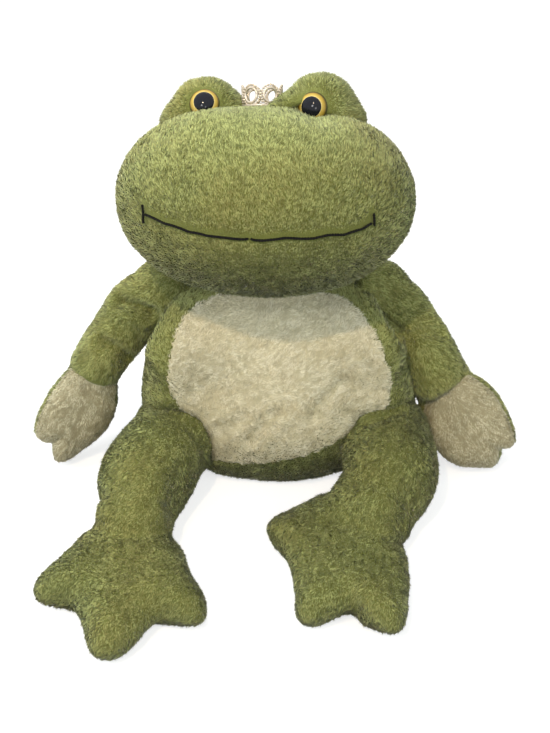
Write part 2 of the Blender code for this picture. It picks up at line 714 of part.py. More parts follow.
def make_arm(side, parts, cutters, torso, torso_skin, plush, cream):
    shoulder = shoulder_place(side)
    elbow = arm_place(side, ELBOW_SHARES[side])
    wrist = arm_place(side, WRIST_SHARES[side])
    axis = Vector((0.0, 1.0, 0.0))
    ball = ball_mesh(f"arm_{side}", shoulder, SHOULDER_RADIUS, axis)
    arm = place_object(f"arm_{side}", ball, parts, shoulder, plush)
    frame = hand_frame(side)
    outline = [Vector((a * HAND_LENGTH, o * HAND_HALF_WIDTH)) for a, o in HAND_OUTLINE_SHARES]
    toward_hand = frame.to_3x3().col[0]
    stations = (
        (shoulder.lerp(elbow, UPPER_ARM_SHARES[0]), UPPER_ARM_RADIUS),
        (shoulder.lerp(elbow, UPPER_ARM_SHARES[1]), UPPER_ARM_RADIUS),
        (elbow, ELBOW_RADIUS),
        (elbow.lerp(wrist, FOREARM_SHARE), (ELBOW_RADIUS + WRIST_RADIUS) / 2),
        (wrist + toward_hand * WRIST_RADIUS / 2, WRIST_RADIUS),
    )
    sleeve = place_object(f"sleeve_{side}", limb_mesh("sleeve", stations, ARM_SIDES), cutters, shoulder)
    smooth_cage(sleeve, 1)
    hide_cutter(sleeve)
    boolean(sleeve, torso_skin)
    boolean(arm, sleeve, "UNION")
    hand_shape = puffed_mesh(f"hand_back_{side}", outline, HAND_THICKNESS, HAND_RIM_SHARE, frame)
    hand = place_object(f"hand_back_{side}", hand_shape, cutters, shoulder)
    smooth_cage(hand, 1)
    hide_cutter(hand)
    boolean(arm, hand, "UNION")

    palm_shape = puffed_mesh(f"palm_{side}", outline, HAND_THICKNESS, HAND_RIM_SHARE, frame)
    palm = place_object(f"palm_{side}", palm_shape, parts, shoulder, cream)
    smooth_cage(palm, 1)
    for name, target, start, operation in (
        (f"palm_block_{side}", palm, PALM_SPLIT + GAP, "INTERSECT"),
        (f"palm_room_{side}", arm, PALM_SPLIT, "DIFFERENCE"),
    ):
        block = palm_block(name, start, name.startswith("palm_room"), frame, cutters, shoulder)
        boolean(target, block, operation)

    socket = place_object(
        f"shoulder_socket_{side}",
        ball_mesh("shoulder_socket", shoulder, SHOULDER_RADIUS + SWING_GAP, axis),
        cutters,
        shoulder,
    )
    hide_cutter(socket)
    boolean(torso, socket)


def palm_block(name, start, is_room, frame, cutters, origin):
    """A block in front of the palm's seam, from below the wrist to past the fingers."""
    low_along = HAND_LENGTH * PALM_TOP_SHARE - (GAP if is_room else 0.0)
    high_along = HAND_LENGTH + HAND_HALF_WIDTH
    half = 2 * HAND_HALF_WIDTH
    form = bmesh.new()
    bmesh.ops.create_cube(form, size=1.0)
    size = Vector((high_along - low_along, 2 * half, HAND_THICKNESS))
    bmesh.ops.scale(form, verts=form.verts, vec=size)
    middle = Vector(((low_along + high_along) / 2, 0.0, start + HAND_THICKNESS / 2))
    bmesh.ops.translate(form, verts=form.verts, vec=middle)
    bmesh.ops.transform(form, matrix=frame, verts=form.verts)
    bmesh.ops.recalc_face_normals(form, faces=form.faces)
    mesh = bpy.data.meshes.new(name)
    form.to_mesh(mesh)
    form.free()
    block = place_object(name, mesh, cutters, origin)
    hide_cutter(block)
    return block


def lying(place, radius):
    """The place moved up or down until a limb of this radius just clears the floor."""
    return Vector((place.x, place.y, radius + GAP))


def make_leg(side, parts, cutters, torso, patch, plush):
    hip, ankle = hip_place(side), ankle_place(side)
    upward = Vector((0.0, 0.0, 1.0))
    axis = upward.cross(heading_way(LEG_HEADING[side]))
    leg = place_object(f"leg_{side}", ball_mesh(f"leg_{side}", hip, HIP_RADIUS, axis), parts, hip, plush)
    knee = hip.lerp(ankle, 0.5) + Vector((KNEE_ASIDE[side], 0.0, 0.0))
    thigh = zip(THIGH_SHARES, (HIP_RADIUS, THIGH_RADIUS))
    calf = zip(CALF_SHARES, (THIGH_RADIUS, CALF_RADIUS, ANKLE_RADIUS))
    stations = [(lying(hip.lerp(knee, share), radius), radius) for share, radius in thigh]
    stations += [(lying(knee.lerp(ankle, share), radius), radius) for share, radius in calf]
    tube = place_object(f"leg_tube_{side}", limb_mesh("leg_tube", stations, LEG_SIDES), cutters, hip)
    smooth_cage(tube, 1)
    hide_cutter(tube)
    boolean(leg, tube, "UNION")
    foot_axis = upward.cross(heading_way(FOOT_HEADING[side]))
    ankle_ball = place_object(
        f"ankle_ball_{side}", ball_mesh("ankle_ball", ankle, ANKLE_RADIUS, foot_axis), cutters, hip
    )
    hide_cutter(ankle_ball)
    boolean(leg, ankle_ball, "UNION")
    socket = place_object(
        f"hip_socket_{side}", ball_mesh("hip_socket", hip, HIP_RADIUS + SWING_GAP, axis), cutters, hip
    )
    hide_cutter(socket)
    boolean(torso, socket)
    boolean(patch, socket)
    for step in range(HIP_ROOM_STEPS):
        swing = -HIP_LIFT + (HIP_LIFT + HIP_DROP) * step / (HIP_ROOM_STEPS - 1)
        room_stations = [(place, radius + SWING_GAP) for place, radius in stations]
        room_shape = limb_mesh("leg_room", room_stations, LEG_SIDES)
        room_shape.transform(Matrix.Translation(-hip))
        room_shape.transform(Matrix.Rotation(swing, 4, axis))
        room_shape.transform(Matrix.Translation(hip))
        room = place_object(f"leg_room_{side}_{step}", room_shape, cutters, hip)
        smooth_cage(room, 1)
        hide_cutter(room)
        boolean(torso, room)
        boolean(patch, room)


def foot_outline(side):
    """The foot seen from above, as (forward, outward) points round the ankle; the first toe lies outward."""
    def at(angle, reach):
        return Vector((reach * math.cos(angle), reach * math.sin(angle)))

    def toe(angle, reach):
        tip = at(angle, reach)
        aside = Vector((-math.sin(angle), math.cos(angle))) * TOE_TIP_HALF_WIDTH
        root = at(angle, reach * TOE_ROOT_SHARE)
        flare = aside * TOE_FLARE_SHARE
        return [root + flare, tip + aside, tip - aside, root - flare]

    first, last = FIRST_TOE_ANGLE[side], -LAST_TOE_ANGLE[side]
    side_reach = FOOT_SIDE_REACH * SIDE_REACH_SHARE
    points = [at(HEEL_ANGLE, HEEL_REACH), at(first + SIDE_ANGLE, side_reach)]
    points += toe(first, FIRST_TOE[side])
    points += [at(WEB_ANGLE, WEB_REACH)]
    points += toe(0.0, MIDDLE_TOE[side])
    points += [at(-WEB_ANGLE, WEB_REACH)]
    points += toe(last, LAST_TOE[side])
    points += [at(last - SIDE_ANGLE, side_reach), at(-HEEL_ANGLE, HEEL_REACH)]
    return points


def make_foot(side, parts, cutters, plush):
    """The foot's frame has X forward along the middle toe, Y towards the first toe and Z up."""
    ankle = ankle_place(side)
    forward = heading_way(FOOT_HEADING[side])
    first_toe_way = Vector((forward.y, -forward.x, 0.0))
    level = FOOT_THICKNESS / 2 + GAP
    turn = Matrix((forward, first_toe_way, Vector((0.0, 0.0, 1.0)))).transposed().to_4x4()
    frame = Matrix.Translation(Vector((ankle.x, ankle.y, level))) @ turn
    shape = puffed_mesh(f"foot_{side}", foot_outline(side), FOOT_THICKNESS, FOOT_RIM_SHARE, frame)
    foot = place_object(f"foot_{side}", shape, parts, ankle, plush)
    smooth_cage(foot, 1)
    axis = Vector((0.0, 0.0, 1.0)).cross(forward)
    room = ball_mesh("ankle_socket", ankle, ANKLE_RADIUS + SWING_GAP, axis)
    socket = place_object(f"ankle_socket_{side}", room, cutters, ankle)
    hide_cutter(socket)
    boolean(foot, socket)


def main():
    clear_scene()
    parts = new_collection("plush_frog")
    cutters = new_collection("cutters")
    materials = {name: new_material(name) for name in COLOURS}

    torso, torso_skin, patch = make_torso(parts, cutters, materials["plush"], materials["cream"])
    head, head_skin, hang = make_head(parts, cutters, materials["plush"])
    make_mouth(parts, cutters, head, hang, materials["thread"])
    make_crown(parts, cutters, head, hang, materials["crown"])
    for side in SIDES:
        make_eye(side, parts, cutters, head, head_skin, hang, materials)
        make_arm(side, parts, cutters, torso, torso_skin, materials["plush"], materials["cream"])
        make_leg(side, parts, cutters, torso, patch, materials["plush"])
        make_foot(side, parts, cutters, materials["plush"])

    neck = neck_pivot()
    neck_axis = Vector((1.0, 0.0, 0.0))
    neck_ball = place_object(
        "neck_ball", ball_mesh("neck_ball", neck, NECK_RADIUS, neck_axis), cutters, neck
    )
    hide_cutter(neck_ball)
    boolean(torso, neck_ball, "UNION")
    neck_socket = place_object(
        "neck_socket",
        ball_mesh("neck_socket", neck, NECK_RADIUS + SWING_GAP, neck_axis),
        cutters,
        neck,
    )
    hide_cutter(neck_socket)
    boolean(head, neck_socket)
    boolean(patch, neck_socket)


main()
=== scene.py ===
import json
import math

import bpy
import numpy as np
from mathutils import Euler, Matrix, Vector
from mathutils.bvhtree import BVHTree


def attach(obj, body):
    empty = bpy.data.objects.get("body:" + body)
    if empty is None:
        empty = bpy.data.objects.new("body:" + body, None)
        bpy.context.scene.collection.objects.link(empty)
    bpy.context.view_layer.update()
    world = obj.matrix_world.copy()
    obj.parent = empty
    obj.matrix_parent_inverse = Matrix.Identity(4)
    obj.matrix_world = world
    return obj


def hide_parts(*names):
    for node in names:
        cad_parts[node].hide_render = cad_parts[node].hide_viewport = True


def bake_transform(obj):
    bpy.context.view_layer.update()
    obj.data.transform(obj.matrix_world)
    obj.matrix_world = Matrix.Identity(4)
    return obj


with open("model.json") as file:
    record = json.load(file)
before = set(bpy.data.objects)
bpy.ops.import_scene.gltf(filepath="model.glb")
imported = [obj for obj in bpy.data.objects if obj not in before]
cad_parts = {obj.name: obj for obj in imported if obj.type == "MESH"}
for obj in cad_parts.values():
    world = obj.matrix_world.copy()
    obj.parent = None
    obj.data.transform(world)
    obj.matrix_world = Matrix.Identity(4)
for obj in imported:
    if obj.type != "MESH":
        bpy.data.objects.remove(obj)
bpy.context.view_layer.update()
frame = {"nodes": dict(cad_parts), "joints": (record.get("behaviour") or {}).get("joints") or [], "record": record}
nodes = frame["nodes"]
sides = ("left", "right")
print("frame loaded")

# Camera and stage

cameraView = {
    "distance": 0.80,  # from the camera to the point it looks at
    "elevation": 38.0,  # degrees above the horizon
    "lookAt": (0.0, -0.020, 0.075),
    "focalPixels": 1333.0,
    "photoWidth": 550,
    "photoHeight": 733,
    "sensor": 36.0,
}

stageLook = {
    "floorSize": 8.0,
    "floorColour": (0.50, 0.50, 0.50, 1.0),
    "floorGlow": 0.72,  # where it is seen straight, mirrored or through glass, so that it reads as white
    "sparkSize": 0.2,  # lamps smaller than this sparkle in the eyes
    "lamps": {  # place, size, power, colour
        "keyLamp": ((-0.350, -0.800, 1.470), 0.055, 8.6, (1.0, 0.77, 0.50)),
        "leftLamp": ((-1.00, -0.10, 0.62), 0.55, 4.3, (0.94, 0.98, 1.0)),
        "frontLamp": ((-0.75, -0.70, 0.62), 0.45, 1.8, (0.93, 1.0, 0.98)),
        "rightLamp": ((0.75, -0.60, 0.62), 0.45, 2.8, (0.93, 1.0, 0.98)),
        "topLamp": ((-0.12, 0.12, 0.68), 0.30, 2.4, (0.98, 1.0, 1.0)),
        "windowLamp": ((-0.42, -0.85, 0.95), 0.18, 1.4, (1.0, 1.0, 1.0)),
        "sparkLamp": ((0.02, -0.80, 0.62), 0.13, 0.60, (1.0, 1.0, 1.0)),
    },
    "skyColour": (0.93, 0.98, 1.0, 1.0),
    "skyAbove": 0.46,
    "skyLevel": 0.38,  # at the horizon
}


def deselectAll():
    if bpy.context.mode != "OBJECT":
        bpy.ops.object.mode_set(mode="OBJECT")
    bpy.ops.object.select_all(action="DESELECT")


def pick(piece):  # selects one piece alone
    deselectAll()
    piece.select_set(True)
    bpy.context.view_layer.objects.active = piece


def applyModifier(piece, kind, **values):  # adds a modifier, sets it and applies it
    pick(piece)
    made = piece.modifiers.new(kind.title(), kind)
    for name, value in values.items():
        setattr(made, name, value)
    bpy.ops.object.modifier_apply(modifier=made.name)


def makeCamera():
    look = Vector(cameraView["lookAt"])
    rise = math.radians(cameraView["elevation"])
    back = Vector((0.0, -math.cos(rise), math.sin(rise)))
    deselectAll()
    bpy.ops.object.camera_add(location=look + back * cameraView["distance"])
    camera = bpy.context.active_object
    camera.name = "photoCamera"
    camera.rotation_euler = (math.pi / 2 - rise, 0.0, 0.0)
    camera.data.sensor_width = cameraView["sensor"]
    camera.data.lens = cameraView["sensor"] * cameraView["focalPixels"] / cameraView["photoHeight"]
    bpy.context.scene.camera = camera


def makeLamp(name, place, size, power, colour, target):
    deselectAll()
    bpy.ops.object.light_add(type="AREA", location=place)
    lamp = bpy.context.active_object
    lamp.name = name
    lamp.rotation_euler = (Vector(target) - Vector(place)).to_track_quat("-Z", "Y").to_euler()
    lamp.data.shape = "DISK"
    lamp.data.size = size
    lamp.data.energy = power
    lamp.data.color = colour
    lamp.visible_glossy = size < stageLook["sparkSize"]


def whiteRays(tree):  # 1 for what is seen straight, mirrored or through glass
    path = tree.nodes.new("ShaderNodeLightPath")
    seen = mathNode(tree, "MAXIMUM", path.outputs["Is Camera Ray"], path.outputs["Is Glossy Ray"])
    return mathNode(tree, "MAXIMUM", seen, path.outputs["Is Transmission Ray"])


def makeStage():
    look = cameraView["lookAt"]
    for name, (place, size, power, colour) in stageLook["lamps"].items():
        makeLamp(name, place, size, power, colour, look)
    world = bpy.data.worlds.new("softSky")
    bpy.context.scene.world = world
    world.use_nodes = True
    tree = world.node_tree
    tree.nodes.clear()
    out = tree.nodes.new("ShaderNodeOutputWorld")
    sky, white = tree.nodes.new("ShaderNodeBackground"), tree.nodes.new("ShaderNodeBackground")
    mix = tree.nodes.new("ShaderNodeMixShader")
    coords, split = tree.nodes.new("ShaderNodeTexCoord"), tree.nodes.new("ShaderNodeSeparateXYZ")
    tree.links.new(coords.outputs["Generated"], split.inputs[0])
    height = mathNode(tree, "MAXIMUM", split.outputs["Z"], 0.0)
    rise = stageLook["skyAbove"] - stageLook["skyLevel"]
    level = mathNode(tree, "MULTIPLY_ADD", height, rise, stageLook["skyLevel"])
    tree.links.new(level, sky.inputs["Strength"])
    sky.inputs["Color"].default_value = stageLook["skyColour"]
    white.inputs["Color"].default_value = (1, 1, 1, 1)
    tree.links.new(whiteRays(tree), mix.inputs["Fac"])
    tree.links.new(sky.outputs[0], mix.inputs[1])
    tree.links.new(white.outputs[0], mix.inputs[2])
    tree.links.new(mix.outputs[0], out.inputs["Surface"])

    deselectAll()
    bpy.ops.mesh.primitive_plane_add(size=stageLook["floorSize"], location=(0, 0, 0))
    floor = bpy.context.active_object
    floor.name = "floor"
    paint = bpy.data.materials.new("paleFloor")
    paint.use_nodes = True
    tree = paint.node_tree
    shader = tree.nodes["Principled BSDF"]
    shader.inputs["Base Color"].default_value = stageLook["floorColour"]
    shader.inputs["Roughness"].default_value = 0.9
    shader.inputs["Specular IOR Level"].default_value = 0.0
    shader.inputs["Emission Color"].default_value = (1, 1, 1, 1)
    glow = mathNode(tree, "MULTIPLY", whiteRays(tree), stageLook["floorGlow"])
    tree.links.new(glow, shader.inputs["Emission Strength"])
    floor.data.materials.append(paint)


# Finishes

# rootShade darkens each strand towards its root: painted shade among the strands
pileLooks = {
    "green": {
        "dull": (0.135, 0.160, 0.040, 1.0),
        "bright": (0.480, 0.530, 0.195, 1.0),
        "warm": (0.415, 0.350, 0.100, 1.0),
        "rootShade": 0.62,
        "roughness": 0.85,
        "sheen": 0.30,
    },
    "cream": {
        "dull": (0.620, 0.580, 0.390, 1.0),
        "bright": (0.950, 0.915, 0.735, 1.0),
        "warm": (0.930, 0.830, 0.560, 1.0),
        "rootShade": 0.72,
        "roughness": 0.85,
        "sheen": 0.15,
    },
    # the palms' cream is darker than the belly's: painted shade on the hands
    "palm": {
        "dull": (0.340, 0.310, 0.185, 1.0),
        "bright": (0.780, 0.750, 0.545, 1.0),
        "warm": (0.560, 0.480, 0.290, 1.0),
        "rootShade": 0.70,
        "roughness": 0.88,
        "sheen": 0.12,
    },
}

clothLooks = {
    "green": {"base": (0.200, 0.220, 0.055, 1.0), "dark": (0.130, 0.145, 0.035, 1.0)},
    "cream": {"base": (0.780, 0.730, 0.510, 1.0), "dark": (0.600, 0.550, 0.370, 1.0)},
    # the palm backing is darker than the belly's: painted shade on the hands
    "palm": {"base": (0.440, 0.400, 0.260, 1.0), "dark": (0.340, 0.300, 0.190, 1.0)},
}

knit = {"pitch": 0.0011, "bump": 0.00025}  # the backing cloth's loops


def newMaterial(name, **values):
    made = bpy.data.materials.new(name)
    made.use_nodes = True
    shader = made.node_tree.nodes["Principled BSDF"]
    for socket, value in values.items():
        shader.inputs[socket.replace("_", " ")].default_value = value
    return made, made.node_tree, shader


def makeGroup(name, inputs, outputs):  # a shader group with named sockets
    group = bpy.data.node_groups.new(name, "ShaderNodeTree")
    for socketName, kind, value in inputs:
        made = group.interface.new_socket(socketName, in_out="INPUT", socket_type=kind)
        made.default_value = value
    for socketName, kind in outputs:
        group.interface.new_socket(socketName, in_out="OUTPUT", socket_type=kind)
    return group, group.nodes.new("NodeGroupInput"), group.nodes.new("NodeGroupOutput")


def mathNode(tree, operation, first, second=None, third=None):
    made = tree.nodes.new("ShaderNodeMath")
    made.operation = operation
    for index, value in enumerate((first, second, third)):
        if value is None:
            continue
        if isinstance(value, (int, float)):
            made.inputs[index].default_value = value
        else:
            tree.links.new(value, made.inputs[index])
    return made.outputs[0]


def mixColours(tree, share, first, second, blendType="MIX"):
    made = tree.nodes.new("ShaderNodeMix")
    made.data_type = "RGBA"
    made.blend_type = blendType
    slots = {"Factor": made.inputs[0], "A": made.inputs[6], "B": made.inputs[7]}
    for key, value in (("Factor", share), ("A", first), ("B", second)):
        if isinstance(value, (int, float, tuple)):
            slots[key].default_value = value
        else:
            tree.links.new(value, slots[key])
    return made.outputs[2]


def pileGroup():  # a strand's colour from its own map: across is its tone, up is its band and its height
    group, start, end = makeGroup(
        "pileTone",
        [
            ("Map", "NodeSocketVector", (0, 0, 0)),
            ("Dull", "NodeSocketColor", (0.1, 0.1, 0.1, 1)),
            ("Bright", "NodeSocketColor", (0.5, 0.5, 0.5, 1)),
            ("Warm", "NodeSocketColor", (0.5, 0.4, 0.2, 1)),
            ("Root shade", "NodeSocketFloat", 0.4),
        ],
        [("Colour", "NodeSocketColor")],
    )
    split = group.nodes.new("ShaderNodeSeparateXYZ")
    group.links.new(start.outputs["Map"], split.inputs[0])
    tone = split.outputs["X"]
    banded = mathNode(group, "MULTIPLY", split.outputs["Y"], float(pile["bands"]))
    height = mathNode(group, "FRACT", banded)
    band = mathNode(group, "DIVIDE", mathNode(group, "FLOOR", banded), float(pile["bands"] - 1))
    colour = mixColours(group, tone, start.outputs["Dull"], start.outputs["Bright"])
    warmth = mathNode(group, "MULTIPLY", band, 0.55)
    colour = mixColours(group, warmth, colour, start.outputs["Warm"])
    # towards the root the colour darkens by Root shade: painted shade among the strands
    rise = mathNode(group, "POWER", height, 0.75)
    lift = mathNode(group, "SUBTRACT", 1.0, start.outputs["Root shade"])
    light = mathNode(group, "MULTIPLY_ADD", rise, lift, start.outputs["Root shade"])
    grey = group.nodes.new("ShaderNodeCombineColor")
    for socket in grey.inputs[:3]:
        group.links.new(light, socket)
    colour = mixColours(group, 1.0, colour, grey.outputs[0], "MULTIPLY")
    group.links.new(colour, end.inputs["Colour"])
    return group


def knitGroup():  # the backing cloth's loops, on object coordinates, darker between the loops as painted shade and in random blotches
    group, start, end = makeGroup(
        "knitBacking",
        [
            ("Place", "NodeSocketVector", (0, 0, 0)),
            ("Pitch", "NodeSocketFloat", 0.001),
            ("Base", "NodeSocketColor", (0.5, 0.5, 0.5, 1)),
            ("Dark", "NodeSocketColor", (0.1, 0.1, 0.1, 1)),
        ],
        [("Colour", "NodeSocketColor"), ("Height", "NodeSocketFloat"), ("Roughness", "NodeSocketFloat")],
    )
    scale = mathNode(group, "DIVIDE", 1.0, start.outputs["Pitch"])
    cells = group.nodes.new("ShaderNodeTexVoronoi")
    cells.feature = "F1"
    group.links.new(start.outputs["Place"], cells.inputs["Vector"])
    group.links.new(scale, cells.inputs["Scale"])
    blotch = group.nodes.new("ShaderNodeTexNoise")
    group.links.new(start.outputs["Place"], blotch.inputs["Vector"])
    blotch.inputs["Scale"].default_value = 60.0
    height = mathNode(group, "SUBTRACT", 1.0, cells.outputs["Distance"])
    # painted shade between the loops, mixed with random blotches
    loopShadeAndBlotch = mathNode(group, "MULTIPLY", height, blotch.outputs["Fac"])
    colour = mixColours(group, loopShadeAndBlotch, start.outputs["Dark"], start.outputs["Base"])
    group.links.new(colour, end.inputs["Colour"])
    group.links.new(height, end.inputs["Height"])
    roughness = mathNode(group, "MULTIPLY_ADD", blotch.outputs["Fac"], 0.2, 0.75)
    group.links.new(roughness, end.inputs["Roughness"])
    return group


def makePileMaterial(name, look, group):
    made, tree, shader = newMaterial(name, Roughness=look["roughness"], Specular_IOR_Level=0.25)
    shader.inputs["Sheen Weight"].default_value = look["sheen"]
    shader.inputs["Sheen Roughness"].default_value = 0.6
    uv = tree.nodes.new("ShaderNodeUVMap")
    uv.uv_map = "OFBake"
    tone = tree.nodes.new("ShaderNodeGroup")
    tone.node_tree = group
    tree.links.new(uv.outputs[0], tone.inputs["Map"])
    tone.inputs["Dull"].default_value = look["dull"]
    tone.inputs["Bright"].default_value = look["bright"]
    tone.inputs["Warm"].default_value = look["warm"]
    tone.inputs["Root shade"].default_value = look["rootShade"]
    tree.links.new(tone.outputs["Colour"], shader.inputs["Base Color"])
    return made


def makeClothMaterial(name, look, group):
    made, tree, shader = newMaterial(name, Specular_IOR_Level=0.2)
    shader.inputs["Sheen Weight"].default_value = 0.2
    coords = tree.nodes.new("ShaderNodeTexCoord")
    cloth = tree.nodes.new("ShaderNodeGroup")
    cloth.node_tree = group
    tree.links.new(coords.outputs["Object"], cloth.inputs["Place"])
    cloth.inputs["Pitch"].default_value = knit["pitch"]
    cloth.inputs["Base"].default_value = look["base"]
    cloth.inputs["Dark"].default_value = look["dark"]
    bump = tree.nodes.new("ShaderNodeBump")
    bump.inputs["Distance"].default_value = knit["bump"]
    tree.links.new(cloth.outputs["Height"], bump.inputs["Height"])
    tree.links.new(bump.outputs["Normal"], shader.inputs["Normal"])
    tree.links.new(cloth.outputs["Colour"], shader.inputs["Base Color"])
    tree.links.new(cloth.outputs["Roughness"], shader.inputs["Roughness"])
    return made


# Covers, the stuffed cloth under the pile

coverLooks = {
    "head": {"voxel": 0.0026, "smooth": 8, "puff": 0.0013, "lump": 0.0007},
    "torso": {"voxel": 0.0026, "smooth": 6, "puff": 0.0013, "lump": 0.0010},
    "eye_mound": {"voxel": 0.0016, "smooth": 4, "puff": 0.0010, "lump": 0.0003},
    "arm": {"voxel": 0.0018, "smooth": 12, "puff": 0.0004, "lump": 0.0010},
    "leg": {"voxel": 0.0020, "smooth": 10, "puff": 0.0013, "lump": 0.0010},
    "palm": {"voxel": 0.0012, "thicken": 0.0010, "smooth": 4, "puff": 0.0010, "lump": 0.0003},
}
patch = {"lift": 0.0007, "thick": 0.0014, "smooth": 3}  # the sewn-on belly panel
lumpSize = 0.022  # how far the stuffing's lumps lie apart
wholeLegs = {"leg_left": "foot_left", "leg_right": "foot_right"}  # one skin from the hip to the toes
ankle = {"fill": 0.0045, "reach": 0.045, "bend": 0.014}  # how its crease is filled and where it bends
footForm = {"puff": 0.0008, "fade": 0.010}  # how much fuller than the leg, and how far the change takes
handForm = {"puff": 0.0012, "top": 0.062, "fade": 0.012}  # fuller than the arm, below this height
bellyPuff = 0.0010  # more than the back has

leftHandPush = [
    ((-0.125, -0.010, 0.035), (0.003, -0.001, 0.0), 0.045),
    ((-0.147, -0.012, 0.012), (0.001, 0.0, 0.003), 0.014),
    ((-0.137, -0.025, 0.010), (-0.002, -0.004, -0.001), 0.015),
]
rightHandPush = [
    ((0.106, -0.020, 0.022), (-0.006, -0.004, -0.001), 0.030),
    ((0.138, -0.026, 0.014), (0.003, -0.003, 0.001), 0.034),
    ((0.116, -0.026, 0.010), (-0.002, -0.005, -0.001), 0.020),
    ((0.130, -0.008, 0.042), (0.003, 0.001, 0.002), 0.030),
]
grabs = {  # places of a cover that are pulled, as with a soft brush: place, move, reach
    "torso": [
        ((-0.050, -0.006, 0.104), (-0.023, -0.017, 0.0), 0.047),
        ((0.050, -0.006, 0.101), (0.019, -0.014, 0.0), 0.044),
        ((-0.074, -0.010, 0.060), (-0.002, -0.018, 0.0), 0.046),
        ((0.078, -0.010, 0.060), (0.001, -0.015, 0.0), 0.044),
        ((0.0, -0.036, 0.014), (0.0, -0.003, 0.0), 0.060),
        ((-0.040, -0.038, 0.012), (0.0, -0.003, 0.0), 0.030),
    ],
    "arm_left": [
        ((-0.070, 0.004, 0.100), (0.000, 0.015, 0.0), 0.054),
        ((-0.080, 0.0, 0.118), (0.004, 0.0, -0.004), 0.034),
        ((-0.110, 0.0, 0.085), (0.0034, 0.002, -0.001), 0.036),
        *leftHandPush,
    ],
    "palm_left": [
        *leftHandPush,
        ((-0.106, -0.012, 0.054), (0.0, 0.001, 0.006), 0.024),
    ],
    "arm_right": [
        ((0.070, 0.004, 0.100), (-0.001, 0.012, 0.0), 0.054),
        ((0.080, 0.0, 0.118), (-0.013, 0.004, -0.012), 0.038),
        ((0.100, -0.012, 0.048), (-0.007, 0.0, 0.0), 0.030),
        *rightHandPush,
    ],
    "palm_right": rightHandPush,
    "head": [((0.021, -0.004, 0.221), (0.0, 0.001, -0.0060), 0.024)],
    "eye_mound_left": [
        ((-0.056, 0.024, 0.214), (-0.003, 0.0, 0.001), 0.018),
        ((-0.047, 0.026, 0.232), (-0.001, 0.0, 0.0012), 0.014),
    ],
    "eye_mound_right": [
        ((0.044, 0.022, 0.216), (0.0032, 0.0, 0.001), 0.018),
        ((0.012, 0.010, 0.222), (-0.012, -0.004, 0.001), 0.022),
        ((0.006, 0.012, 0.228), (-0.007, -0.005, 0.001), 0.018),
    ],
    "leg_left": [
        ((-0.075, -0.179, 0.012), (0.003, -0.001, 0.0), 0.020),
        ((-0.038, -0.165, 0.012), (0.002, -0.003, 0.0), 0.018),
        ((-0.132, -0.145, 0.012), (-0.002, -0.003, 0.0), 0.018),
        ((-0.126, -0.119, 0.012), (0.002, -0.001, 0.0), 0.025),
        ((-0.051, -0.084, 0.030), (-0.0045, 0.0, 0.0), 0.025),
        ((-0.099, -0.037, 0.040), (0.0015, 0.0, 0.0), 0.025),
        ((-0.088, -0.022, 0.045), (0.003, 0.0, -0.001), 0.020),
        ((-0.104, -0.086, 0.020), (0.002, 0.0, 0.0), 0.020),
        ((-0.066, -0.168, 0.010), (0.002, -0.004, 0.0), 0.018),
        ((-0.044, -0.132, 0.010), (-0.003, 0.0, 0.0), 0.020),
    ],
    "leg_right": [
        ((0.040, -0.084, 0.026), (-0.004, 0.004, 0.003), 0.024),
        ((0.052, -0.168, 0.012), (-0.003, 0.003, 0.0), 0.020),
        ((0.083, -0.101, 0.030), (-0.0045, 0.001, 0.0), 0.030),
        ((0.053, -0.166, 0.010), (0.0, 0.004, 0.0), 0.016),
        ((0.020, -0.080, 0.020), (0.0, 0.003, 0.002), 0.020),
    ],
}

folds = {  # creases pressed into the covers: their line in pixels of the photograph, depth, reach
    "arm_left": [
        ([(116, 309), (130, 313), (147, 322)], 0.0056, 0.0064),
        ([(97, 344), (112, 352), (126, 362)], 0.0036, 0.0058),
    ],
    "arm_right": [
        ([(398, 316), (408, 330), (412, 345)], 0.0042, 0.0062),
        ([(424, 338), (440, 336), (452, 329)], 0.0034, 0.0058),
    ],
    "leg_left": [
        ([(101, 494), (122, 505), (146, 510)], 0.0016, 0.0070),
        ([(146, 404), (162, 409), (176, 407)], 0.0012, 0.0060),
    ],
    "leg_right": [
        ([(377, 505), (392, 516), (407, 523)], 0.0020, 0.0060),
        ([(370, 424), (384, 419), (398, 411)], 0.0012, 0.0060),
    ],
    "palm_left": [
        ([(84, 392), (96, 400), (110, 402)], 0.0012, 0.0050),
    ],
    "palm_right": [
        ([(436, 394), (447, 406), (452, 420)], 0.0013, 0.0050),
        ([(462, 392), (470, 402), (486, 410)], 0.0011, 0.0050),
    ],
    "torso": [
        ([(196, 296), (188, 306), (172, 314)], 0.0012, 0.0060),
        ([(249, 438), (262, 424), (274, 412)], 0.0018, 0.0060),
        ([(222, 430), (234, 421), (246, 416)], 0.0013, 0.0060),
        ([(312, 412), (326, 398), (338, 384)], 0.0013, 0.0070),
    ],
}

foldRim = {"place": 1.25, "width": 0.5, "height": 0.22}  # raised edge, in shares of the reach and depth
flare = {"reach": 0.0048, "height": 0.011}  # the eye mounds' skirts where they meet the head
brow = {"pixel": (206, 124), "rise": 0.0024, "reach": 0.017}  # a fuller place before the left eye
panelNodes = ("belly_patch", "palm_left", "palm_right")
palmOf = {"arm_left": "palm_left", "arm_right": "palm_right"}
lowest = 0.0002  # above the floor


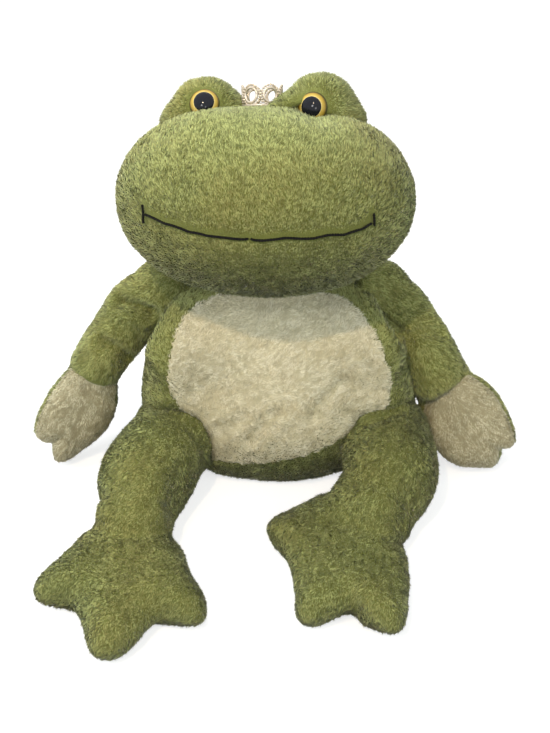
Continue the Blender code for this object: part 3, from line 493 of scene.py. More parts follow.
def smoothNoise(points, size, seed):  # -1 to 1 at each point, smooth over the given size
    grid = points / size + 1000.0
    base = np.floor(grid).astype(np.int64)
    part = grid - base
    part = part * part * (3 - 2 * part)
    total = np.zeros(len(points))
    for corner in range(8):
        step = np.array([corner & 1, corner >> 1 & 1, corner >> 2 & 1])
        at = base + step
        mixed = at[:, 0] * 73856093 ^ at[:, 1] * 19349663 ^ at[:, 2] * 83492791 ^ seed * 2654435761
        mixed = (mixed ^ mixed >> 13) * 1274126177 & 0xFFFFFFFF
        value = ((mixed ^ mixed >> 16) & 0xFFFF) / 32767.5 - 1
        weight = np.prod(np.where(step, part, 1 - part), axis=1)
        total += weight * value
    return total


def cornersOf(mesh):
    found = np.zeros(len(mesh.vertices) * 3)
    mesh.vertices.foreach_get("co", found)
    return found.reshape(-1, 3)


def normalsOf(mesh):
    found = np.zeros(len(mesh.vertices) * 3)
    mesh.vertices.foreach_get("normal", found)
    return found.reshape(-1, 3)


def movePoints(mesh, points):
    mesh.vertices.foreach_set("co", points.ravel())
    mesh.update()


def pressFolds(node, points, tree):  # how deep each point is pressed by the creases
    depth = np.zeros(len(points))
    for pixels, deep, reach in folds.get(node, []):
        found = [placeOn(tree, pixel)[0] for pixel in pixels]
        line = evenPoints([place for place in found if place], 0.002)
        distance, _ = nearestOnLine(points, line)
        near = np.clip(1 - (distance / reach) ** 2, 0, 1)
        rim = np.exp(-(((distance - reach * foldRim["place"]) / (reach * foldRim["width"])) ** 2))
        depth += deep * (near**2 - foldRim["height"] * rim)
    return depth


def formOf(node, points, normals, tree):  # what the cover is fuller by than the solid, beside its lumps
    swell = -pressFolds(node, points, tree)
    if node in wholeLegs:
        pivot = jointOf(bodyOf[wholeLegs[node]])["pos_m"]
        swell += footForm["puff"] * np.clip((pivot[1] - points[:, 1]) / footForm["fade"], 0, 1)
    if node == "torso":
        swell += bellyPuff * np.clip(-normals[:, 1], 0, 1)
    if node.startswith("arm"):
        share = np.clip((handForm["top"] - points[:, 2]) / handForm["fade"], 0, 1)
        swell += handForm["puff"] * share
    if node == "head":
        place, _ = placeOn(tree, brow["pixel"])
        distance = np.linalg.norm(points - np.array(place), axis=1)
        swell += brow["rise"] * np.exp(-((distance / brow["reach"]) ** 2) * 2)
    if node.startswith("eye_mound"):
        skin = coverTree["head"]
        for index, point in enumerate(points):
            place, normal, _, distance = skin.find_nearest(Vector(point))
            height = distance if (Vector(point) - place).dot(normal) > 0 else 0.0
            swell[index] += flare["reach"] * max(1 - height / flare["height"], 0.0) ** 2
        place = eyeFrame("left" if node.endswith("left") else "right")
        gap = points - np.array(place.translation)
        way = np.array(place.to_3x3().col[2])
        depth = gap @ way
        reach = np.linalg.norm(gap - depth[:, None] * way, axis=1)
        near = np.clip(1.6 - (reach - eyeLook["radius"]) / eyeLook["dish"], 0, 1) * (depth > -0.006)
        swell = swell * (1 - near) - eyeLook["sunk"] * near
    return swell


def grabPoints(node, points):
    for place, move, reach in grabs.get(node, []):
        distance = np.linalg.norm(points - np.array(place), axis=1)
        share = np.clip(1 - (distance / reach) ** 2, 0, 1) ** 2
        points = points + share[:, None] * np.array(move)
    return points


def copyNode(node):  # a merged copy of a CAD node
    mesh = nodes[node].data.copy()
    mesh.materials.clear()
    made = bpy.data.objects.new(node.replace("_", "") + "Cover", mesh)
    bpy.context.scene.collection.objects.link(made)
    pick(made)
    bpy.ops.object.mode_set(mode="EDIT")
    bpy.ops.mesh.select_all(action="SELECT")
    bpy.ops.mesh.remove_doubles(threshold=0.00002)
    bpy.ops.object.mode_set(mode="OBJECT")
    return made


def fillAnkle(cover, node, voxel):  # swells the ankle, closes its crease and lets it down again
    pivot = np.array(jointOf(bodyOf[wholeLegs[node]])["pos_m"])
    for sign in (1, -0.6):
        points, normals = cornersOf(cover.data), normalsOf(cover.data)
        distance = np.linalg.norm(points - pivot, axis=1)
        share = np.clip(1 - (distance / ankle["reach"]) ** 2, 0, 1)
        movePoints(cover.data, points + normals * (sign * ankle["fill"] * share)[:, None])
        applyModifier(cover, "REMESH", mode="VOXEL", voxel_size=voxel)


def makeCover(node, look, material):
    cover = copyNode(node)
    if node in wholeLegs:
        foot = copyNode(wholeLegs[node])
        pick(cover)
        foot.select_set(True)
        bpy.ops.object.join()
    if "thicken" in look:  # a thin panel would tear in the remesh
        movePoints(cover.data, cornersOf(cover.data) + normalsOf(cover.data) * look["thicken"])
    applyModifier(cover, "REMESH", mode="VOXEL", voxel_size=look["voxel"])
    if node in wholeLegs:
        fillAnkle(cover, node, look["voxel"])
    applyModifier(cover, "SMOOTH", factor=0.5, iterations=look["smooth"])
    points, normals = cornersOf(cover.data), normalsOf(cover.data)
    lumps = smoothNoise(points, lumpSize, 3) + 0.4 * smoothNoise(points, lumpSize / 2.5, 4)
    swell = look["puff"] + lumps * look["lump"] + formOf(node, points, normals, treeOf(cover))
    points = grabPoints(node, points + normals * swell[:, None])
    points[:, 2] = np.maximum(points[:, 2], lowest)
    movePoints(cover.data, points)
    cover.data.materials.append(material)
    cover.data.shade_smooth()
    if node == "torso":  # cream under the patch, so that no green shows through its pile
        cover.data.materials.append(clothFinish["cream"])
        middles = np.array([list(face.center) for face in cover.data.polygons])
        fronts = facing(np.array([list(face.normal) for face in cover.data.polygons]))
        creamy = insideEdge(pixelsOf(middles), patchEdge) & fronts
        cover.data.polygons.foreach_set("material_index", creamy.astype(np.int32))
    return cover


def makePatch(torso, material):  # the panel sewn on the torso, cut from its cover
    made = bpy.data.objects.new("bellypatchCover", torso.data.copy())
    bpy.context.scene.collection.objects.link(made)
    pick(made)
    bpy.ops.object.mode_set(mode="EDIT")
    bpy.ops.mesh.select_mode(type="FACE")
    bpy.ops.mesh.select_all(action="DESELECT")
    bpy.ops.object.mode_set(mode="OBJECT")
    for face in made.data.polygons:
        face.select = face.material_index == 0
        face.material_index = 0
    bpy.ops.object.mode_set(mode="EDIT")
    bpy.ops.mesh.delete(type="FACE")
    bpy.ops.object.mode_set(mode="OBJECT")
    made.data.materials.clear()
    made.data.materials.append(material)
    applyModifier(made, "SMOOTH", factor=0.5, iterations=patch["smooth"])
    movePoints(made.data, cornersOf(made.data) + normalsOf(made.data) * patch["lift"])
    applyModifier(made, "SOLIDIFY", thickness=patch["thick"], offset=-1.0)
    made.data.shade_smooth()
    return made


def treeOf(piece):
    points = [v.co.copy() for v in piece.data.vertices]
    faces = [tuple(p.vertices) for p in piece.data.polygons]
    return BVHTree.FromPolygons(points, faces)


insideWay = Vector((0.31, 0.22, 0.925)).normalized()  # any way out will do


def insideOf(tree, point, depth):  # whether a point lies deeper than this in a closed piece
    place, normal, index, distance = tree.find_nearest(point)
    if place is None or distance <= depth or (point - place).dot(normal) >= 0:
        return False
    meets, spot = 0, point.copy()
    while meets < 40:
        place, _, _, _ = tree.ray_cast(spot, insideWay)
        if place is None:
            return meets % 2 == 1
        meets += 1
        spot = place + insideWay * 0.000002
    return True


def photoRay(pixel):  # from the camera through a pixel of the photograph
    look = Vector(cameraView["lookAt"])
    rise = math.radians(cameraView["elevation"])
    forward = Vector((0.0, math.cos(rise), -math.sin(rise)))
    upward = Vector((0.0, math.sin(rise), math.cos(rise)))
    start = look - forward * cameraView["distance"]
    across = (pixel[0] - cameraView["photoWidth"] / 2) / cameraView["focalPixels"]
    up = (cameraView["photoHeight"] / 2 - pixel[1]) / cameraView["focalPixels"]
    return start, (forward + Vector((across, 0.0, 0.0)) + upward * up).normalized()


def placeOn(tree, pixel):  # where a pixel of the photograph falls on a piece
    start, way = photoRay(pixel)
    place, normal, index, distance = tree.ray_cast(start, way)
    return place, normal


def jointOf(body):
    for joint in frame["joints"]:
        if joint["child"] == body:
            return joint


def jointTurn(joint, degrees):
    pivot = Vector(joint["pos_m"])
    turn = Matrix.Rotation(math.radians(degrees), 4, Vector(joint["axis"]))
    return Matrix.Translation(pivot) @ turn @ Matrix.Translation(-pivot)


# Pile, combed strands of real mesh

pile = {
    "bands": 4,  # how many warmths the strands have
    "perSquare": 4.2e6,  # strands for each square metre
    "length": 0.0026,
    "shortest": 0.0004,  # none is grown where it would be shorter
    "width": 0.00043,
    "lean": 58.0,  # degrees from upright
    "twist": 52.0,
    "stray": 0.42,
    "rootDepth": 0.0007,
    "softness": 0.66,  # how much a strand is lit like the cloth under it
    "swirlSizes": (0.009, 0.0035),  # over which the comb wanders
    "tuftSize": 0.0019,
    "streakSize": 0.0015,  # across the comb
    "streakTone": 0.95,
    "strandTone": 0.16,  # from one strand to the next
    "blotchSize": 0.030,
    "warmSize": 0.026,
    "warmth": 0.9,
    "mostStrands": 95000,  # in one piece
    "floor": 0.0004,
    "hiddenDepth": 0.0002,  # how deep in another cover no pile grows
    "panelDepth": 0.0025,  # the same for the cream panels in their own body
}


def towards(way):  # combed one way all over
    return lambda points: np.tile(np.array(way, float), (len(points), 1))


def awayFrom(place):  # combed away from one place
    return lambda points: points - np.array(place)


def nearestOnLine(points, line):  # distance to a line of points and the way from it
    best = np.full(len(points), 1e9)
    away = np.zeros((len(points), 3))
    for first, second in zip(line, line[1:]):
        along = second - first
        share = np.clip((points - first) @ along / (along @ along), 0, 1)
        gap = points - (first + share[:, None] * along)
        distance = np.linalg.norm(gap, axis=1)
        nearer = distance < best
        best[nearer], away[nearer] = distance[nearer], gap[nearer]
    return best, away


def unit(rows):
    return rows / np.maximum(np.linalg.norm(rows, axis=1), 1e-12)[:, None]


def strandRoots(cover, hidden, density, rng):
    mesh = cover.data
    mesh.calc_loop_triangles()
    corners = np.zeros(len(mesh.loop_triangles) * 3, np.int64)
    owners = np.zeros(len(mesh.loop_triangles), np.int64)
    mesh.loop_triangles.foreach_get("vertices", corners)
    mesh.loop_triangles.foreach_get("polygon_index", owners)
    corners = corners.reshape(-1, 3)
    points, normals = cornersOf(mesh), normalsOf(mesh)
    a, b, c = (points[corners[:, k]] for k in range(3))
    area = np.linalg.norm(np.cross(b - a, c - a), axis=1) / 2
    area[hidden[owners]] = 0.0
    count = int(area.sum() * density)
    run = np.cumsum(area)
    spots = (np.arange(count) + rng.random(count)) / count * run[-1]
    chosen = np.minimum(np.searchsorted(run, spots), len(run) - 1)
    first, second = rng.random(count), rng.random(count)
    flip = first + second > 1
    first[flip], second[flip] = 1 - first[flip], 1 - second[flip]
    shares = np.stack([1 - first - second, first, second], axis=1)[:, :, None]
    roots = (points[corners[chosen]] * shares).sum(1)
    ups = unit((normals[corners[chosen]] * shares).sum(1))
    return roots, ups


def growPile(cover, hidden, look):  # the strands' four corners, shading, tones, warmths and ways out
    rng = np.random.default_rng(look["seed"])
    roots, ups = strandRoots(cover, hidden, pile["perSquare"] * look.get("density", 1.0), rng)
    roots = roots + ups * look.get("lift", 0.0)
    count = len(roots)
    nap = look["nap"](roots)
    nap = combed = unit(nap - (nap * ups).sum(1)[:, None] * ups)
    side = np.cross(ups, nap)
    wide, fine = pile["swirlSizes"]
    swirl = smoothNoise(roots, wide, 11) * 0.5 + smoothNoise(roots, fine, 12) * 0.7
    swirl = swirl * look.get("swirl", 1.0) + rng.normal(0, 0.28, count)
    nap = nap * np.cos(swirl)[:, None] + side * np.sin(swirl)[:, None]
    gather = np.stack([smoothNoise(roots, pile["tuftSize"], 21 + k) for k in range(3)], axis=1)
    stretched = roots - combed * ((roots * combed).sum(1) * 0.6)[:, None]
    streak = smoothNoise(stretched, pile["streakSize"], 32)  # its long way runs along the comb
    lean = look.get("lean", pile["lean"]) + rng.normal(0, 12, count) + 6 * smoothNoise(roots, fine, 13)
    lean = np.radians(lean)
    length = look.get("length", pile["length"]) * (1 + rng.normal(0, 0.14, count))
    length *= 1 + 0.06 * smoothNoise(roots, 0.006, 14)
    width = pile["width"] * (1 + rng.normal(0, 0.2, count))
    if "shape" in look:
        length, nap, lean = look["shape"](roots, length, nap, lean)
    kept = length > pile["shortest"]
    roots, ups, nap, gather, lean, length, width = (
        rows[kept] for rows in (roots, ups, nap, gather, lean, length, width)
    )
    count = len(roots)
    upright, along = np.cos(lean)[:, None], np.sin(lean)[:, None]
    first = unit(ups * (upright + 0.25) + nap * along * 0.85 + gather * pile["stray"] * 0.3)
    second = unit(ups * (upright - 0.10) + nap * along * 1.1 + gather * pile["stray"])
    reach = length[:, None]
    start = roots - ups * pile["rootDepth"]
    middle = start + first * reach * 0.5
    tip = middle + second * reach * 0.6
    across = unit(np.cross(second, ups))
    out = unit(np.cross(across, second))
    turn = np.radians(np.clip(rng.normal(0, pile["twist"], count), -75, 75))[:, None]
    across = across * np.cos(turn) + out * np.sin(turn)
    face = np.cross(across, second)
    across[(face * ups).sum(1) < 0] *= -1
    face = unit(np.cross(across, second))
    half = width[:, None] / 2
    corners = np.stack([middle - across * half, start, middle + across * half, tip], axis=1)
    floor = pile["floor"] * (1 + rng.random(count)[:, None])
    corners[:, :, 2] = np.maximum(corners[:, :, 2], floor)
    soft = pile["softness"]
    shading = unit(ups * soft + face * (1 - soft))
    # a part's own tone offset is painted light and shade: lighter on the torso, darker on the arms, legs and eye
    # mounds
    tone = 0.5 + look.get("tone", 0.0) + 0.08 * smoothNoise(roots, pile["blotchSize"], 31)
    tone += pile["streakTone"] * streak[kept] + rng.normal(0, pile["strandTone"], count)
    tone = np.clip(tone, 0.02, 0.98)
    warmth = smoothNoise(roots, pile["warmSize"], 33) * 1.2 + rng.normal(0, 0.7, count) + pile["warmth"]
    band = np.clip(np.round(warmth), 0, pile["bands"] - 1)
    return corners, shading, tone, band, ups


def strandMesh(name, corners, shading, tone, band, material):
    count = len(corners)
    mesh = bpy.data.meshes.new(name)
    mesh.vertices.add(count * 4)
    mesh.vertices.foreach_set("co", corners.astype(np.float32).ravel())
    mesh.loops.add(count * 4)
    mesh.loops.foreach_set("vertex_index", np.arange(count * 4, dtype=np.int32))
    mesh.polygons.add(count)
    mesh.polygons.foreach_set("loop_start", np.arange(count, dtype=np.int32) * 4)
    mesh.update(calc_edges=True)
    mesh.shade_smooth()
    mesh.normals_split_custom_set_from_vertices(np.repeat(shading, 4, axis=0).astype(np.float32))
    layer = mesh.uv_layers.new(name="OFBake")
    across = tone[:, None] + np.array([-0.004, 0.0, 0.004, 0.0])
    up = (band[:, None] + np.array([0.5, 0.06, 0.5, 0.94])) / pile["bands"]
    layer.data.foreach_set("uv", np.stack([across, up], axis=2).astype(np.float32).ravel())
    mesh.materials.append(material)
    piece = bpy.data.objects.new(name, mesh)
    bpy.context.scene.collection.objects.link(piece)
    return piece


def hiddenFaces(cover, others, turns, depth):  # faces that others hide, however both are turned
    hidden = np.zeros(len(cover.data.polygons), bool)
    for index, face in enumerate(cover.data.polygons):
        spot = face.center + face.normal * 0.0012
        hidden[index] = all(
            any(all(insideOf(tree, back @ turn @ spot, depth) for back in backs) for tree, backs in others)
            for turn in turns
        )
    return hidden


def limitTurns(body):  # as at rest and at each limit of the body's own joint
    turns, joint = [Matrix.Identity(4)], jointOf(body)
    if joint:
        turns += [jointTurn(joint, degrees) for degrees in joint["range_deg"] if degrees]
    return turns


def underPanel(cover, panel, near=0.005):  # faces that lie under a sewn-on panel
    under = np.zeros(len(cover.data.polygons), bool)
    for index, face in enumerate(cover.data.polygons):
        place, _, _, _ = panel.ray_cast(face.center - face.normal * near, face.normal, near * 2)
        under[index] = place is not None
    return under


patchEdge = [  # the belly patch's seam, in pixels of the photograph
    (215, 296), (194, 307), (182, 318), (175, 334), (169.5, 357), (167, 380), (171, 394), (181, 409),
    (199, 423), (206, 441), (211, 459.5), (236, 463), (265, 462), (301, 457), (327.5, 446), (351, 432),
    (369, 419), (388, 405), (390, 385), (387, 366), (381, 348), (372, 330), (360, 314), (345, 301),
    (333, 296), (300, 290), (250, 290),
]


def pixelsOf(points):  # where points fall in the photograph
    start, forward = photoRay((cameraView["photoWidth"] / 2, cameraView["photoHeight"] / 2))
    upward = Vector((0.0, -forward.z, forward.y))
    gap = points - np.array(start)
    depth = gap @ np.array(forward) / cameraView["focalPixels"]
    across = cameraView["photoWidth"] / 2 + gap[:, 0] / depth
    return np.stack([across, cameraView["photoHeight"] / 2 - gap @ np.array(upward) / depth], axis=1)


def facing(normals):  # which of them look towards the photograph's camera
    start, forward = photoRay((cameraView["photoWidth"] / 2, cameraView["photoHeight"] / 2))
    return normals @ np.array(forward) < 0


def insideEdge(spots, edge):  # which spots lie inside a closed line of pixels
    inside = np.zeros(len(spots), bool)
    for (firstU, firstV), (secondU, secondV) in zip(edge, edge[1:] + edge[:1]):
        if firstV == secondV:
            continue
        crosses = (spots[:, 1] < firstV) != (spots[:, 1] < secondV)
        meets = firstU + (spots[:, 1] - firstV) * (secondU - firstU) / (secondV - firstV)
        inside ^= crosses & (spots[:, 0] < meets)
    return inside


# Mouth

mouth = {
    "line": [
        (147, 214), (156, 218), (166, 222.5), (177, 226), (191, 231), (208, 234.5), (227, 237),
        (245, 238.6), (263, 239.5), (286, 237), (300, 237.6), (313, 237.5), (325, 234), (343, 233.6),
        (361, 228), (370, 222.5),
    ],
    "leftTick": [(144.5, 205), (145.5, 214), (146, 222)],
    "rightTick": [(372, 213), (372.5, 219), (372.5, 225)],
    "strand": 0.00046,  # radius of one of the two strands
    "twistPitch": 0.0030,
    "lift": 0.0016,  # above the cloth, in the pile
    "dip": (249.5, 0.0022, 2.6),  # where a stitch goes under: pixel across, depth, half width in pixels
    "groove": 0.0030,  # reach of the pressed pile
}


def evenPoints(points, spacing):  # a line of points with the same spacing all along
    points = np.array([list(p) for p in points])
    steps = np.r_[0, np.cumsum(np.linalg.norm(np.diff(points, axis=0), axis=1))]
    wanted = np.linspace(0, steps[-1], max(int(steps[-1] / spacing), 2) + 1)
    return np.stack([np.interp(wanted, steps, points[:, k]) for k in range(3)], axis=1)


def tubeAlong(name, points, radius, closed=False, detail=2):
    curve = bpy.data.curves.new(name, "CURVE")
    curve.dimensions = "3D"
    curve.bevel_depth = radius
    curve.bevel_resolution = detail
    curve.use_fill_caps = not closed
    spline = curve.splines.new("POLY")
    spline.points.add(len(points) - 1)
    for target, point in zip(spline.points, points):
        target.co = (*point, 1.0)
    spline.use_cyclic_u = closed
    piece = bpy.data.objects.new(name, curve)
    bpy.context.scene.collection.objects.link(piece)
    pick(piece)
    bpy.ops.object.convert(target="MESH")
    piece = bpy.context.active_object
    piece.data.shade_smooth()
    return piece


def joinPieces(name, parts, material):
    pick(parts[0])
    for part in parts:
        part.select_set(True)
    if len(parts) > 1:
        bpy.ops.object.join()
    piece = bpy.context.active_object
    piece.name = name
    piece.data.name = name
    piece.data.materials.clear()
    piece.data.materials.append(material)
    return piece


def twistedThread(name, line, ups):  # two strands wound round a line
    parts = []
    ways = unit(np.gradient(line, axis=0))
    run = np.r_[0, np.cumsum(np.linalg.norm(np.diff(line, axis=0), axis=1))]
    asides = unit(np.cross(ways, ups))
    for strand in range(2):
        turn = (run / mouth["twistPitch"] + strand / 2) * 2 * math.pi
        offset = asides * np.cos(turn)[:, None] + ups * np.sin(turn)[:, None]
        parts.append(tubeAlong(f"{name}{strand}", line + offset * mouth["strand"] * 0.8, mouth["strand"]))
    return parts


def makeMouth(headTree, material):
    lines, parts = [], []
    for index, key in enumerate(("line", "leftTick", "rightTick")):
        found = [placeOn(headTree, pixel) for pixel in mouth[key]]
        line = evenPoints([place for place, normal in found], 0.0006)
        ups = []
        for point in line:
            place, normal, _, _ = headTree.find_nearest(Vector(point))
            ups.append(list(normal))
        ups = unit(np.array(ups))
        lines.append(line)
        lift = mouth["lift"] + 0.0006 * smoothNoise(line, 0.005, 41)
        if key == "line":
            spots = pixelsOf(line)[:, 0]
            lift -= mouth["dip"][1] * np.exp(-(((spots - mouth["dip"][0]) / mouth["dip"][2]) ** 2))
        parts += twistedThread(f"thread{index}", line + ups * lift[:, None], ups)
    return joinPieces("mouthThread", parts, material), lines


# Eyes

eyeLook = {
    "radius": 0.0083,
    "flange": 0.0009,
    "dome": 0.0042,
    "pupilRadius": 0.0057,
    "pupilRise": 0.0006,
    "shankRadius": 0.0020,
    "shankLength": 0.0090,
    "washerMiddle": 0.0048,  # below the flange's back
    "steps": 64,
    "arcSteps": 14,
    "pressed": 0.0050,  # reach of the shorter pile round the eye
    "bare": 0.0009,  # no pile this near the rim
    "dish": 0.0040,  # how far round the eye the cover is pulled in
    "sunk": 0.0016,
}


def lathe(name, profile, material):  # turns (radius, height) points about Z with the spin operator
    mesh = bpy.data.meshes.new(name)
    edges = [(k, k + 1) for k in range(len(profile) - 1)]
    mesh.from_pydata([(r, 0.0, h) for r, h in profile], edges, [])
    piece = bpy.data.objects.new(name, mesh)
    bpy.context.scene.collection.objects.link(piece)
    pick(piece)
    bpy.ops.object.mode_set(mode="EDIT")
    bpy.ops.mesh.select_all(action="SELECT")
    bpy.ops.mesh.spin(steps=eyeLook["steps"], angle=2 * math.pi, center=(0, 0, 0), axis=(0, 0, 1))
    bpy.ops.mesh.select_all(action="SELECT")
    bpy.ops.mesh.remove_doubles(threshold=0.000005)
    bpy.ops.mesh.normals_make_consistent(inside=False)
    bpy.ops.object.mode_set(mode="OBJECT")
    piece.data.materials.append(material)
    piece.data.shade_smooth()
    reach = np.linalg.norm(cornersOf(piece.data)[:, :2], axis=1) / eyeLook["radius"]
    shares = piece.data.attributes.new("eyeReach", "FLOAT", "POINT")
    shares.data.foreach_set("value", reach.astype(np.float32))
    return piece


def eyeFrame(side):  # at the back of the flange, with Z out of the eye
    washer = Vector(cornersOf(nodes[f"eye_washer_{side}"].data).mean(0))
    pupil = Vector(cornersOf(nodes[f"pupil_{side}"].data).mean(0))
    way = (pupil - washer).normalized()
    seat = washer + way * eyeLook["washerMiddle"]
    return Matrix.Translation(seat) @ way.to_track_quat("Z", "Y").to_matrix().to_4x4()


def domeHeight(radius):
    ball = (eyeLook["radius"] ** 2 + eyeLook["dome"] ** 2) / (2 * eyeLook["dome"])
    return eyeLook["flange"] + eyeLook["dome"] - ball + math.sqrt(max(ball**2 - radius**2, 0.0))


def makeEye(side, materials):
    place = eyeFrame(side)
    rim, hole = eyeLook["radius"], eyeLook["pupilRadius"]
    arc = [hole + (rim - hole) * k / eyeLook["arcSteps"] for k in range(eyeLook["arcSteps"] + 1)]
    seat, wall = domeHeight(hole) - 0.0012, hole - 0.0001
    profile = [(0.0, seat), (wall, seat), (wall, domeHeight(hole) - 0.0001)]
    profile += [(r, domeHeight(r)) for r in arc]
    profile += [(rim + 0.00008, 0.0006), (rim, 0.0002), (rim - 0.0003, 0.0), (eyeLook["shankRadius"], 0.0)]
    profile += [(eyeLook["shankRadius"], -eyeLook["shankLength"] + 0.0005), (0.0, -eyeLook["shankLength"])]
    iris = lathe(f"iris{side.title()}", profile, materials["iris"])
    top = eyeLook["flange"] + eyeLook["dome"] + eyeLook["pupilRise"]
    edge = domeHeight(hole) - 0.0002
    turns = [math.pi / 2 * k / eyeLook["arcSteps"] for k in range(eyeLook["arcSteps"] + 1)]
    profile = [(hole * math.sin(t), edge + (top - edge) * math.cos(t)) for t in turns]
    profile += [(hole, edge - 0.0009), (0.0, edge - 0.0009)]
    pupil = lathe(f"pupil{side.title()}", profile, materials["pupil"])
    for piece, node in ((iris, f"eye_{side}"), (pupil, f"pupil_{side}")):
        piece.data.transform(place)
        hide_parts(node)
        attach(piece, "head")
    return place


def noiseOf(tree, scale, detail=2.0):
    coords, noise = tree.nodes.new("ShaderNodeTexCoord"), tree.nodes.new("ShaderNodeTexNoise")
    noise.inputs["Scale"].default_value = scale
    noise.inputs["Detail"].default_value = detail
    tree.links.new(coords.outputs["Object"], noise.inputs["Vector"])
    return noise.outputs["Fac"]


def mottle(tree, shader, grain, dark, pale):  # the base colour wanders between two
    tree.links.new(mixColours(tree, grain, (*dark, 1), (*pale, 1)), shader.inputs["Base Color"])


def makeEyeMaterials():
    iris, tree, shader = newMaterial("amberIris", Roughness=0.25, Specular_IOR_Level=0.2)
    shader.inputs["Coat Weight"].default_value = 0.3
    shader.inputs["Coat Roughness"].default_value = 0.03
    reach = tree.nodes.new("ShaderNodeAttribute")
    reach.attribute_name = "eyeReach"
    shifted = mathNode(tree, "MULTIPLY_ADD", noiseOf(tree, 900.0), 0.03, reach.outputs["Fac"])
    ramp = tree.nodes.new("ShaderNodeValToRGB")
    # amber, darkening outwards; the near-black outer rim is painted shade round the eye
    stops = (
        (0.66, (0.060, 0.040, 0.010, 1)),
        (0.70, (0.680, 0.580, 0.250, 1)),
        (0.745, (0.520, 0.370, 0.075, 1)),
        (0.86, (0.400, 0.275, 0.042, 1)),
        (0.925, (0.260, 0.170, 0.022, 1)),
        (0.965, (0.080, 0.065, 0.013, 1)),
        (1.0, (0.050, 0.042, 0.010, 1)),
    )
    ramp.color_ramp.elements[0].position, ramp.color_ramp.elements[0].color = stops[0]
    ramp.color_ramp.elements[1].position, ramp.color_ramp.elements[1].color = stops[-1]
    for position, colour in stops[1:-1]:
        ramp.color_ramp.elements.new(position).color = colour
    tree.links.new(shifted, ramp.inputs["Fac"])
    tree.links.new(ramp.outputs["Color"], shader.inputs["Base Color"])

    pupil, tree, shader = newMaterial("blackPupil", Roughness=0.06, Specular_IOR_Level=0.30)
    mottle(tree, shader, noiseOf(tree, 500.0), (0.004, 0.005, 0.009), (0.010, 0.011, 0.016))
    return iris, pupil


def makeThreadMaterial():
    thread, tree, shader = newMaterial("blackThread", Roughness=0.8, Specular_IOR_Level=0.1)
    mottle(tree, shader, noiseOf(tree, 1500.0), (0.003, 0.003, 0.003), (0.016, 0.016, 0.014))
    return thread


def makeCrownMaterial():
    metal, tree, shader = newMaterial("champagneMetal", Metallic=0.75)
    tarnish = noiseOf(tree, 700.0, 4.0)
    mottle(tree, shader, tarnish, (0.50, 0.40, 0.29), (0.97, 0.90, 0.76))
    tree.links.new(mathNode(tree, "MULTIPLY_ADD", tarnish, 0.25, 0.22), shader.inputs["Roughness"])
    return metal


def makeWasherMaterial():
    plastic, tree, shader = newMaterial("milkyPlastic", Roughness=0.45)
    mottle(tree, shader, noiseOf(tree, 300.0), (0.62, 0.61, 0.57), (0.80, 0.79, 0.75))
    return plastic


# Crown

crown = {
    "tilt": (-28.0, -1.5, -4.0),  # the head's turn, in degrees
    "radius": 0.0110,
    "loops": 6,
    "height": 0.0112,
    "halfShare": 0.47,  # half a loop's width, in shares of the spacing
    "bandRadius": 0.00075,
    "beadRadius": 0.00074,
    "beadsPerLoop": 22,
    "footRadius": 0.0009,
    "bandInset": 0.0016,
    "bandSteps": 40,
    "lift": 0.0016,  # above the cloth, in the pile
    "aside": 0.0008,
}


def makeCrown(headTree, material):
    turn = Euler([math.radians(a) for a in crown["tilt"]], "XYZ").to_matrix()
    low = Vector(cornersOf(nodes["crown"].data).mean(0))
    upward = turn @ Vector((0, 0, 1))
    centre = low - Vector((crown["aside"], 0, 0))

    def ringPlace(angle, reach):
        spot = centre + turn @ Vector((math.cos(angle), math.sin(angle), 0)) * reach
        place, _, _, _ = headTree.ray_cast(spot + upward * 0.05, -upward)
        return place + upward * crown["lift"]

    parts = []
    deselectAll()
    bpy.ops.mesh.primitive_uv_sphere_add(segments=10, ring_count=6, radius=crown["beadRadius"])
    bead = bpy.context.active_object
    for index in range(crown["loops"]):
        middle = 2 * math.pi * (index + 0.5) / crown["loops"] + math.pi / 2
        half = 2 * math.pi / crown["loops"] * crown["halfShare"]
        for kind, shrink in (("band", crown["bandInset"]), ("bead", 0.0)):
            count = crown["bandSteps" if kind == "band" else "beadsPerLoop"]
            loop = []
            for step in range(count):
                angle = 2 * math.pi * step / count
                reach = half - shrink / crown["radius"]
                rise = shrink + (crown["height"] / 2 - shrink) * (1 - math.cos(angle))
                foot = ringPlace(middle + reach * math.sin(angle), crown["radius"])
                loop.append(foot + upward * rise)
            if kind == "band":
                parts.append(tubeAlong(f"crownBand{index}", loop, crown["bandRadius"], True, 2))
            else:
                for place in loop:
                    made = bead.copy()
                    made.data = bead.data.copy()
                    made.data.transform(Matrix.Translation(place))
                    bpy.context.scene.collection.objects.link(made)
                    parts.append(made)
    ring = [ringPlace(2 * math.pi * k / 72, crown["radius"]) for k in range(72)]
    parts.append(tubeAlong("crownFoot", ring, crown["footRadius"], True, 3))
    bpy.data.objects.remove(bead)
    piece = joinPieces("ringCrown", parts, material)
    piece.data.shade_smooth()
    return piece, centre


makeCamera()
makeStage()
print("stage set")

pileNodes, knitNodes = pileGroup(), knitGroup()
pileFinish = {key: makePileMaterial(f"{key}Pile", look, pileNodes) for key, look in pileLooks.items()}
clothFinish = {key: makeClothMaterial(f"{key}Backing", look, knitNodes) for key, look in clothLooks.items()}
irisFinish, pupilFinish = makeEyeMaterials()
threadFinish, crownFinish = makeThreadMaterial(), makeCrownMaterial()
washerFinish = makeWasherMaterial()
for side in sides:
    washer = nodes[f"eye_washer_{side}"].data
    washer.materials.clear()
    washer.materials.append(washerFinish)
print("finishes made")

bodyOf = {}
for body, members in frame["record"]["behaviour"]["bodies"].items():
    for node in members:
        bodyOf[node] = body


def rideOn(piece, node):  # a whole leg is baked where it stands, and the rest moves with its body
    if node not in wholeLegs:
        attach(piece, bodyOf[node])
        return
    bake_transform(piece)


